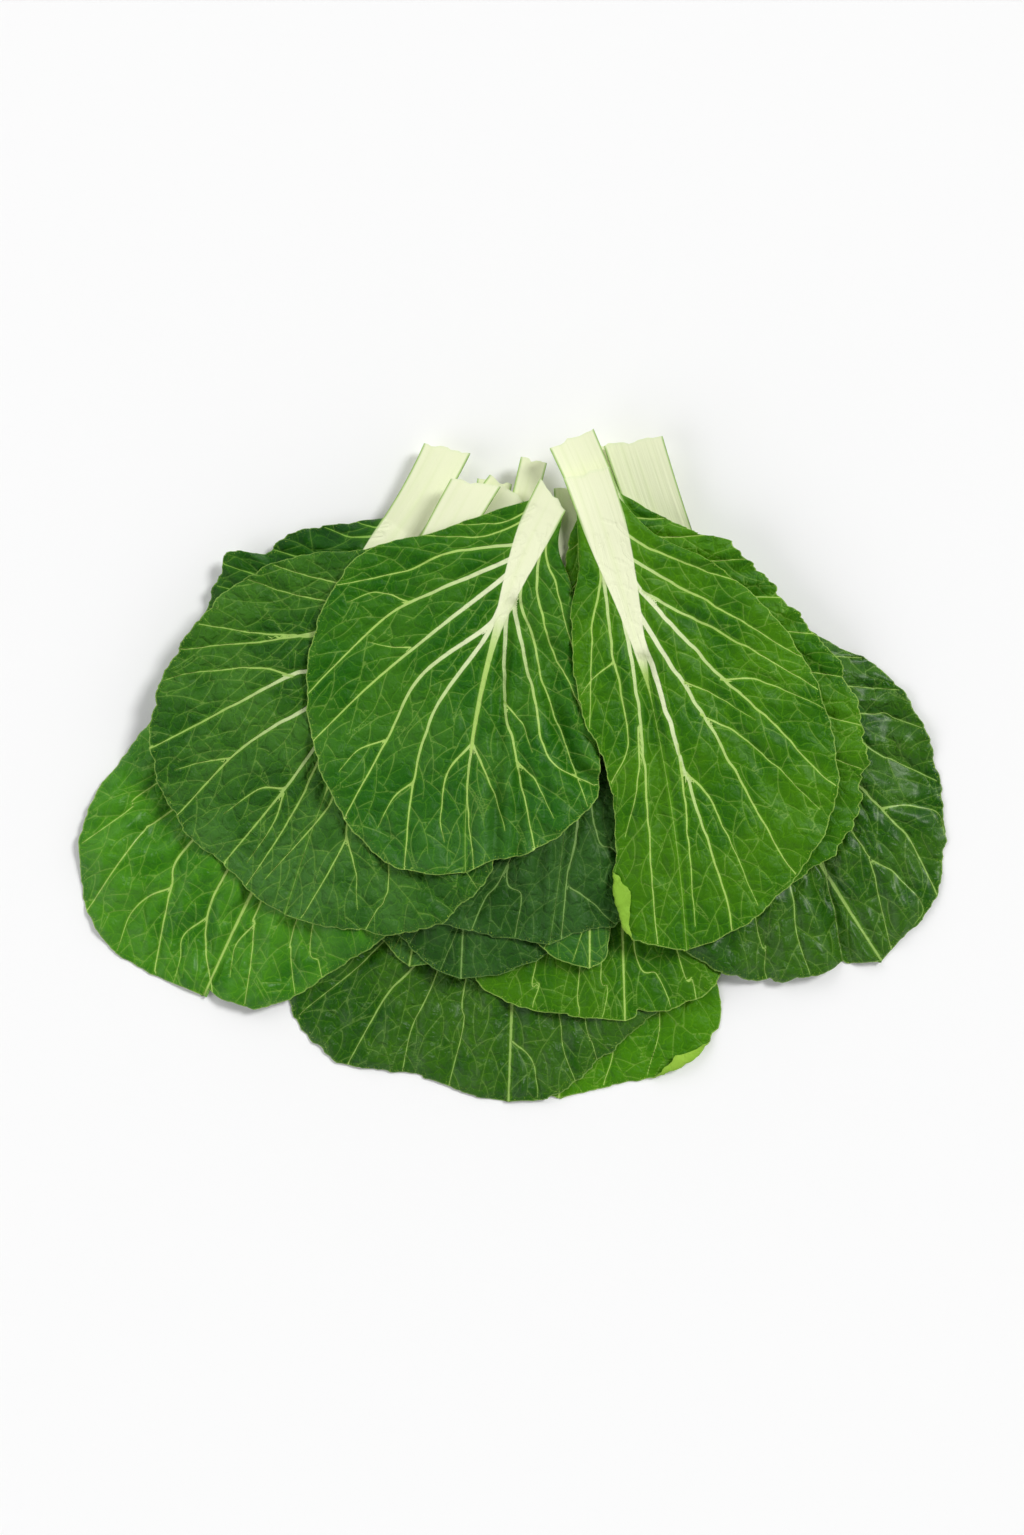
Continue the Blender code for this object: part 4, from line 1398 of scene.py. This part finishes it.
@dataclass
class LeafBlade:
    """One leaf as it is made: spread flat, shaped, laid on the heap, closed to a shell and dressed.

    Attributes:
        leaf: What it is like.
        number: Which leaf it is, from the lowest.
        heap: What it is laid on.
        skins: Where its material comes from.
        rng: The seeded source of its waves and hills.
        rib: Its middle line.
        margins: Its two margins.
        tree: Its veins.
        stem_rows: Rows of the grid that belong to the petiole.
        s: Fraction of the length, by row.
        v: Share of the margins, by row.
        half: Half width of petiole and midrib, by row.
        columns: Number of each column, 0 on the middle line.
        sign: Side of each column, -1 or 1.
        inner: How far each column is across petiole and midrib, from 0 to 1.
        outer: How far it is across the blade, from 0 to 1.
        flat: The places of the leaf when it is spread out.
        folded: The same with its folds turned over.
        turned: How far a fold lifts each place.
        reach: Distance of each place from the midrib's edge.
        inset: Its distance from the margin.
        gone: How much of a fold lies between it and the place where the fold begins.
        vein: The way to the nearest side vein, and that vein's half width.
        twig: The same for the nearest twig.
        vein_far: The distance to that side vein.
        twig_far: The distance to that twig.
        crown: How far each place is up the quilting, from 0 to 1; the material paints a highlight by it.
        natural: Height of the leaf's own shape.
        thick: Its thickness.
        top: Height of its upper face on the heap.
    """

    leaf: Leaf
    number: int
    heap: Heap
    skins: LeafSkins
    rng: np.random.Generator = field(init=False)
    rib: Midrib = field(init=False)
    margins: dict[Side, Margin] = field(init=False)
    tree: VeinTree = field(init=False)
    stem_rows: int = field(init=False)
    s: np.ndarray = field(init=False)
    v: np.ndarray = field(init=False)
    half: np.ndarray = field(init=False)
    columns: np.ndarray = field(init=False)
    sign: np.ndarray = field(init=False)
    inner: np.ndarray = field(init=False)
    outer: np.ndarray = field(init=False)
    flat: np.ndarray = field(init=False)
    folded: np.ndarray = field(init=False)
    turned: np.ndarray = field(init=False)
    reach: np.ndarray = field(init=False)
    inset: np.ndarray = field(init=False)
    gone: np.ndarray = field(init=False)
    vein: np.ndarray = field(init=False)
    twig: np.ndarray = field(init=False)
    vein_far: np.ndarray = field(init=False)
    twig_far: np.ndarray = field(init=False)
    crown: np.ndarray = field(init=False)
    natural: np.ndarray = field(init=False)
    thick: np.ndarray = field(init=False)
    top: np.ndarray = field(init=False)

    def build(self) -> bpy.types.Object:
        """Makes the leaf.

        Returns:
            The finished piece.
        """
        self.rng = np.random.default_rng(LEAF_SEED + self.number)
        self.rib = Midrib(self.leaf)
        self.margins = {side: Margin(self.rib, side) for side in Side}
        self.spread()
        self.tree = VeinTree(
            self.leaf, self.rib, self.margins, self.flat[self.stem_rows:].reshape(-1, 2), TWIG_SEED + self.number
        )
        self.tree.grow()
        flat = self.flat.reshape(-1, 2)
        shape = self.flat.shape[:2]
        self.vein, far = self.tree.offsets(self.tree.mains, flat)
        self.twig, near = self.tree.offsets(self.tree.twigs, flat)
        self.vein_far, self.twig_far = far.reshape(shape), near.reshape(shape)
        self.shape()
        self.lay()
        piece = self.shell()
        self.dress(piece)
        return piece

    def spread(self) -> None:
        """Spreads the leaf out flat, in rows from petiole to tip and columns from left to right.

        The columns nearest the middle make the petiole and midrib, and the outer ones fan out to the margin. A leaf
        with folds is also given with its folds turned over.
        """
        leaf, rib = self.leaf, self.rib
        self.stem_rows = max(6, round(leaf.start * leaf.length / 1.6))
        rows = np.arange(self.stem_rows + leaf.rows + 1)
        v = 1 - (1 - np.clip((rows - self.stem_rows) / leaf.rows, 0, 1)) ** 1.15
        s = np.where(rows < self.stem_rows, leaf.start * rows / self.stem_rows, leaf.start + (1 - leaf.start) * v**1.2)
        half = rib.half_width(s)
        half[-1] = 0
        k = np.arange(-(RIB_CELLS + leaf.wings[0]), RIB_CELLS + leaf.wings[1] + 1)
        sign = np.where(k < 0, -1, 1)
        self.inner = np.minimum(abs(k), RIB_CELLS) / RIB_CELLS
        self.outer = np.maximum(0, abs(k) - RIB_CELLS) / np.where(k < 0, leaf.wings[0], leaf.wings[1])
        side = rib.side(s)
        along = np.stack([side[:, 1], -side[:, 0]], 1)
        skew = leaf.cut * 0.5 * np.maximum(0, 1 - s / leaf.start)
        edge = {w: rib.at(s) + w.value * (half[:, None] * side + skew[:, None] * along) for w in Side}
        place = rib.at(s)[:, None] + (sign * self.inner)[None, :, None] * (
            half[:, None] * side + skew[:, None] * along
        )[:, None]
        ragged = 0.9 * wander(k / RIB_CELLS, self.rng, 0.8) * (1 - self.inner**4)
        place = place + (np.maximum(0, 1 - rows / 5)[:, None] * ragged[None])[..., None] * along[:, None]
        flat, folded = place.copy(), place.copy()
        turned, reach, inset, gone = (np.zeros(place.shape[:2]) for _ in range(4))
        for w in Side:
            columns = (k * w.value) > RIB_CELLS
            way = self.margins[w].at(v) - edge[w]
            length = np.linalg.norm(way, axis=1)
            way = way / np.maximum(length, 1e-6)[:, None]
            length = np.where(rows >= self.stem_rows, length, 0)
            calm = np.minimum(1, length / 14) * np.minimum(1, (1 - v) * 12)
            shore = v * self.margins[w].length
            trim = leaf.scallop * calm * (wander(shore, self.rng, 1 / 26) * 1.0 + wander(shore, self.rng, 1 / 7) * 0.42)
            for notch in leaf.notches:
                if notch.side is w:
                    trim = trim - notch.depth * np.exp(
                        -(np.abs(v - notch.share) * self.margins[w].length / notch.spread) ** 1.3
                    )
            length = np.maximum(0, length + trim)
            extra, radius = np.zeros(len(v)), 1.0
            for fold in leaf.folds:
                if fold.side is w:
                    t = np.clip((v - fold.first) / (fold.last - fold.first), 0, 1)
                    extra = fold.depth * np.where(t < fold.lean, t / fold.lean, (1 - t) / (1 - fold.lean)) ** 0.8
                    radius = fold.radius
            x = self.outer[None, columns] * (length + extra)[:, None]
            beyond = np.maximum(0, x - length[:, None])
            turn, lift = x - beyond, np.zeros_like(x)
            if extra.any():
                angle = np.minimum(beyond / radius, math.pi * 0.97)
                rest = np.maximum(0, beyond - math.pi * 0.97 * radius)
                turn = turn + radius * np.sin(angle) - rest
                lift = radius * (1 - np.cos(angle)) + rest * 0.10
            flat[:, columns] = edge[w][:, None] + way[:, None] * x[..., None]
            folded[:, columns] = edge[w][:, None] + way[:, None] * turn[..., None]
            turned[:, columns], reach[:, columns] = lift, x
            inset[:, columns] = (length + extra)[:, None] - x
            gone[:, columns] = beyond
            inset[:, (k * w.value > 0) & ~columns] = (length + extra)[:, None]
        inset[:, k == 0] = np.minimum(*(np.linalg.norm(self.margins[w].at(v) - edge[w], axis=1) for w in Side))[:, None]
        self.s, self.v, self.half, self.sign, self.columns = s, v, half, sign, k
        self.flat, self.folded, self.turned = flat, folded, turned
        self.reach, self.inset, self.gone = reach, inset, gone

    def pin(self, values: np.ndarray) -> np.ndarray:
        """Gives every column that ends on the petiole's edge, or in the tip, the value of that place.

        Args:
            values: A value for each row and column, changed where it stands.

        Returns:
            The same values.
        """
        left, right, rows = self.leaf.wings[0], self.leaf.wings[1], self.stem_rows + 1
        values[:rows, :left] = values[:rows, left : left + 1]
        values[:rows, -right:] = values[:rows, -right - 1 : -right]
        values[-1] = values[-1, left + RIB_CELLS]
        return values

    def shape(self) -> None:
        """Works out the leaf's own height and thickness everywhere: dome, waves, creases, quilting and petiole."""
        leaf, v, s = self.leaf, self.v[:, None], self.s[:, None]
        outer, inner, x = self.outer[None], self.inner[None], self.reach
        blade = smoothstep(leaf.start, leaf.start + 0.12, s)
        top = leaf.dome * (1 - outer**2) * np.sin(math.pi * np.minimum(1, 0.12 + 0.88 * v)) ** 0.7
        for w in Side:
            half_leaf = (self.columns * w.value) > 0
            waves = wander(self.v * leaf.waves, self.rng, 1.0)[:, None] + 0.4 * wander(
                self.v * leaf.waves, self.rng, 3.1
            )[:, None]
            top = top + half_leaf[None] * leaf.wave * waves * outer**2.2 * blade * np.minimum(1, 6 * (1 - v))
            for lift in leaf.lifts:
                if lift.side is w:
                    top = top + half_leaf[None] * lift.height * np.exp(
                        -(((v - lift.share) / lift.spread) ** 2)
                    ) * outer**2.5
        top = top + HILL_RISE * leaf.roll * rolling(self.flat, self.rng, HILL_LENGTH) * blade * np.minimum(1, x / 15)
        hollow = 1 - smoothstep(leaf.start * 0.6, leaf.start + 0.35, s)
        beside_rib = np.where(x > 0, x, 0.0)
        shore = 1 - np.exp(-np.maximum(self.inset, 0) / 4)
        from_vein = np.minimum(
            np.maximum(self.vein_far.reshape(x.shape) - self.vein[:, 2].reshape(x.shape), 0), beside_rib
        )
        uneven = 0.75 + 0.25 * rolling(self.flat, self.rng, 22)
        top = top + QUILT_RISE * leaf.quilt * (1 - np.exp(-((from_vein / QUILT_REACH) ** 1.4))) * shore * uneven
        from_twig = np.minimum(self.twig_far, beside_rib)
        top = top + TWIG_QUILT * leaf.quilt * (
            1 - np.exp(-((from_twig / TWIG_REACH) ** 1.5))
        ) * np.minimum(1, x / 3) * shore
        for crease in leaf.creases:
            path = smooth_curve(np.array([self.rib.beside(a, b) for a, b in crease.path]), 5)
            top = top - crease.depth * np.exp(-((distance_to_path(self.flat, path) / crease.width) ** 2))
        top = top + EDGE_RISE * hollow * inner**2 * np.exp(-x / 2.5)
        tall = self.rib.thickness(s) - RIB_SHEET
        body = tall * (1 - 0.45 * inner**2) + EDGE_RISE * hollow * inner**2
        thick = BLADE + np.where(outer == 0, body, body * np.exp(-((x / 1.6) ** 1.2)))
        main_half = self.vein[:, 2].reshape(x.shape)
        thick = thick + RIDGE * main_half * np.exp(-((self.vein_far / (main_half + 0.5)) ** 2)) * (x > 0)
        self.crown = np.clip(from_vein / 9.0, 0, 1)
        self.natural, self.thick = self.pin(top + self.turned), self.pin(thick)

    def lay(self) -> None:
        """Lets the leaf sink on the heap, then adds it to the heap."""
        bottom = self.natural - self.thick
        under = self.heap.under(self.folded)
        need = np.where(under > 0.01, under + GAP, 0.05) - bottom
        need = np.where(self.gone > 0.3, need.min(), need)
        left = self.leaf.wings[0]
        stiff = smoothstep(2.5, 6.0, self.half)[:, None]
        ribs = slice(left, left + 2 * RIB_CELLS + 1)
        need[:, ribs] = np.maximum(
            need[:, ribs], need[:, ribs].max(1, keepdims=True) * stiff + need[:, ribs] * (1 - stiff)
        )
        rows = self.stem_rows + 1
        need[:rows] = need[:rows, ribs].max(1, keepdims=True)
        rise = self.pin(settle(need))
        self.top = self.pin(self.natural + rise)
        self.heap.add(self.folded, self.top)

    def facing(self) -> np.ndarray:
        """Works out which way the upper face looks at each place.

        Returns:
            The unit directions, one for each row and column.
        """
        place = np.concatenate([self.folded, self.top[..., None]], -1)
        cell = np.cross(place[1:, :-1] - place[:-1, 1:], place[1:, 1:] - place[:-1, :-1])
        total = np.zeros_like(place)
        for rows in (slice(0, -1), slice(1, None)):
            for columns in (slice(0, -1), slice(1, None)):
                total[rows, columns] += cell
        size = np.linalg.norm(total, axis=-1, keepdims=True)
        out = np.where(size > 1e-9, total / np.maximum(size, 1e-9), np.array([0.0, 0.0, 1.0]))
        straight = smoothstep(0.9, 2.2, self.thick)[..., None]
        out = out * (1 - straight) + np.array([0.0, 0.0, 1.0]) * straight
        out[-1] = (0, 0, 1)
        return self.pin(out / np.linalg.norm(out, axis=-1, keepdims=True))

    def shell(self) -> bpy.types.Object:
        """Closes the leaf: a grid is given a wall, and both its faces are put in their places.

        Returns:
            The piece, with its marks for the material.
        """
        rows, columns = self.top.shape
        bm = bmesh.new()
        bmesh.ops.create_grid(bm, x_segments=columns - 1, y_segments=rows - 1, size=1.0)
        bmesh.ops.solidify(bm, geom=bm.faces[:], thickness=0.1)
        bmesh.ops.recalc_face_normals(bm, faces=bm.faces[:])
        mesh = bpy.data.meshes.new(f"{self.leaf.name}_blade")
        bm.to_mesh(mesh)
        bm.free()
        flat = np.zeros(len(mesh.vertices) * 3)
        mesh.vertices.foreach_get("co", flat)
        x, y, z = flat.reshape(-1, 3).T
        column = ((x + 1) / 2 * (columns - 1)).round().astype(int)
        row = rows - 1 - ((y + 1) / 2 * (rows - 1)).round().astype(int)
        under = z < (z.max() + z.min()) / 2
        upper = np.concatenate([self.folded - np.array(MIDDLE), self.top[..., None]], -1)
        lower = upper - self.facing() * self.thick[..., None]
        lower[..., 2] = np.maximum(lower[..., 2], LOWEST)
        places = np.where(under[:, None], lower[row, column], upper[row, column])
        mesh.vertices.foreach_set("co", (places * MM).reshape(-1))
        across = self.sign[None] * (self.half[:, None] * self.inner[None] + self.reach)
        rib_half = self.half * (1 - smoothstep(*self.leaf.fade, self.s)) * (
            1 - 0.62 * smoothstep(self.leaf.start + 0.25, 1.0, self.s)
        )
        along = self.s * self.leaf.length
        stem = (1 - smoothstep(self.leaf.start, self.leaf.start + 0.10, self.s)) * np.ones(rows)
        whole = np.ones((1, columns))
        marks = {
            "rib": (across, along[:, None] * whole, rib_half[:, None] * whole),
            "skin": (
                np.zeros((rows, columns)),
                np.where(np.arange(rows)[:, None] <= self.stem_rows, 30.0, self.inset),
                stem[:, None] * whole,
            ),
            # cut end, petiole haze, and how far up the quilting a place is, for the painted highlight on the crowns
            "cut_haze_and_highlight": ((self.s < 1e-6)[:, None] * whole, stem[:, None] * whole, self.crown),
            "vein": tuple(self.vein.reshape(rows, columns, 3)[..., k] for k in range(3)),
            "twig": tuple(self.twig.reshape(rows, columns, 3)[..., k] for k in range(3)),
            "reach": (self.vein_far, self.twig_far, self.gone),
        }
        for name, parts in marks.items():
            values = np.stack([part[row, column] for part in parts], -1)
            if name == "skin":
                values[:, 0] = under
            mesh.attributes.new(name, "FLOAT_VECTOR", "POINT").data.foreach_set(
                "vector", values.astype(np.float32).reshape(-1)
            )
        bm = bmesh.new()
        bm.from_mesh(mesh)
        bmesh.ops.remove_doubles(bm, verts=bm.verts[:], dist=SEAM)
        bm.to_mesh(mesh)
        bm.free()
        mesh.polygons.foreach_set("use_smooth", np.ones(len(mesh.polygons), bool))
        mesh.set_sharp_from_angle(angle=math.radians(CREST))
        piece = bpy.data.objects.new(f"{self.leaf.name}_blade", mesh)
        bpy.context.scene.collection.objects.link(piece)
        return piece

    def dress(self, piece: bpy.types.Object) -> None:
        """Gives the piece its material, hangs it on the root body, and hides the CAD part that it stands for.

        Args:
            piece: The finished leaf.
        """
        piece.data.materials.append(self.skins.material(self.leaf, self.number))
        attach(piece, "root")
        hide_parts(self.leaf.name)


@dataclass
class Fan:
    """All the leaves of the head, laid one on another."""

    leaves: tuple[Leaf, ...] = LEAVES
    pieces: list[bpy.types.Object] = field(default_factory=list)

    def build(self) -> None:
        """Makes every leaf from the lowest to the topmost."""
        heap, skins = Heap(), LeafSkins()
        skins.build()
        for number, leaf in enumerate(self.leaves):
            piece = LeafBlade(leaf, number, heap, skins).build()
            self.pieces.append(piece)
            triangles = sum(len(p.vertices) - 2 for p in piece.data.polygons)
            LOG.info(
                "%s: %d triangles, top at %.1f mm", piece.name, triangles, max(v.co.z for v in piece.data.vertices) / MM
            )


@dataclass
class Studio:
    """The plain pale table, the soft lights over it and the white room around it."""

    half_side: float = 6.0
    floor_colour: Colour = (0.93, 0.93, 0.93)
    lamps: tuple[tuple[float, float, float, float], ...] = (
        (44.0, 125.0, 1.95, 18.0),
        (52.0, 300.0, 0.62, 40.0),
        (50.0, 215.0, 0.60, 40.0),
    )  # tilt from overhead, azimuth, strength, spread, in degrees
    horizon: float = 0.74
    overhead: float = 0.06

    def build(self) -> None:
        """Makes the table, the lights and the room."""
        self.table()
        self.lights()
        self.room()

    def table(self) -> None:
        """Lays the table top that everything stands on."""
        bm = bmesh.new()
        bmesh.ops.create_grid(bm, x_segments=1, y_segments=1, size=self.half_side)
        mesh = bpy.data.meshes.new("table_top")
        bm.to_mesh(mesh)
        bm.free()
        top = bpy.data.objects.new("table_top", mesh)
        bpy.context.scene.collection.objects.link(top)
        made = bpy.data.materials.new("table_white")
        made.use_nodes = True
        g = Graph(made.node_tree)
        shader = made.node_tree.nodes["Principled BSDF"]
        noise = g.node("TexNoise", Scale=9.0, Detail=2.0)
        g.put(noise.inputs["Vector"], g.node("TexCoord").outputs["Object"])
        pale = tuple(c * 0.995 for c in self.floor_colour)
        g.put(shader.inputs["Base Color"], g.blend(noise.outputs["Fac"], pale, self.floor_colour))
        shader.inputs["Roughness"].default_value = 0.8
        shader.inputs["Specular IOR Level"].default_value = 0.1
        mesh.materials.append(made)

    def lights(self) -> None:
        """Hangs broad soft lights, as far away as a large window."""
        for number, (tilt, azimuth, strength, spread) in enumerate(self.lamps):
            data = bpy.data.lights.new(f"softbox_{number}", "SUN")
            data.energy, data.angle = strength, math.radians(spread)
            lamp = bpy.data.objects.new(data.name, data)
            lamp.rotation_euler = (math.radians(tilt), 0, math.radians(azimuth))
            bpy.context.scene.collection.objects.link(lamp)

    def room(self) -> None:
        """Gives the room white walls and a dimmer ceiling."""
        world = bpy.data.worlds.new("white_room")
        world.use_nodes = True
        g = Graph(world.node_tree)
        up = g.node("SeparateXYZ", Vector=g.node("TexCoord").outputs["Generated"])
        g.put(
            world.node_tree.nodes["Background"].inputs["Strength"],
            g.ramp(up.outputs["Z"], 0.35, 0.95, self.horizon, self.overhead),
        )
        world.node_tree.nodes["Background"].inputs["Color"].default_value = (1, 1, 1, 1)
        bpy.context.scene.world = world


@dataclass
class Camera:
    """The camera, straight above the fan."""

    place: Pair = (-0.0003, 0.0003)
    height: float = 1.6
    lens: float = 76.85
    sensor: float = 36.0

    def build(self) -> None:
        """Makes the camera and gives it to the scene."""
        data = bpy.data.cameras.new("camera")
        data.lens, data.sensor_width = self.lens, self.sensor
        made = bpy.data.objects.new("camera", data)
        made.location = (*self.place, self.height)
        bpy.context.scene.collection.objects.link(made)
        bpy.context.scene.camera = made


def write_sizes() -> None:
    """Updates the view layer."""
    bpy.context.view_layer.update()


def main() -> None:
    """Builds the camera, the studio and the leaves, and reports each piece."""
    logging.basicConfig(level=logging.INFO, format="%(message)s")
    bpy.context.scene.view_settings.view_transform = "Standard"
    Camera().build()
    Studio().build()
    fan = Fan()
    fan.build()
    LOG.info("%d leaves laid", len(fan.pieces))
    write_sizes()


if __name__ == "__main__":
    main()
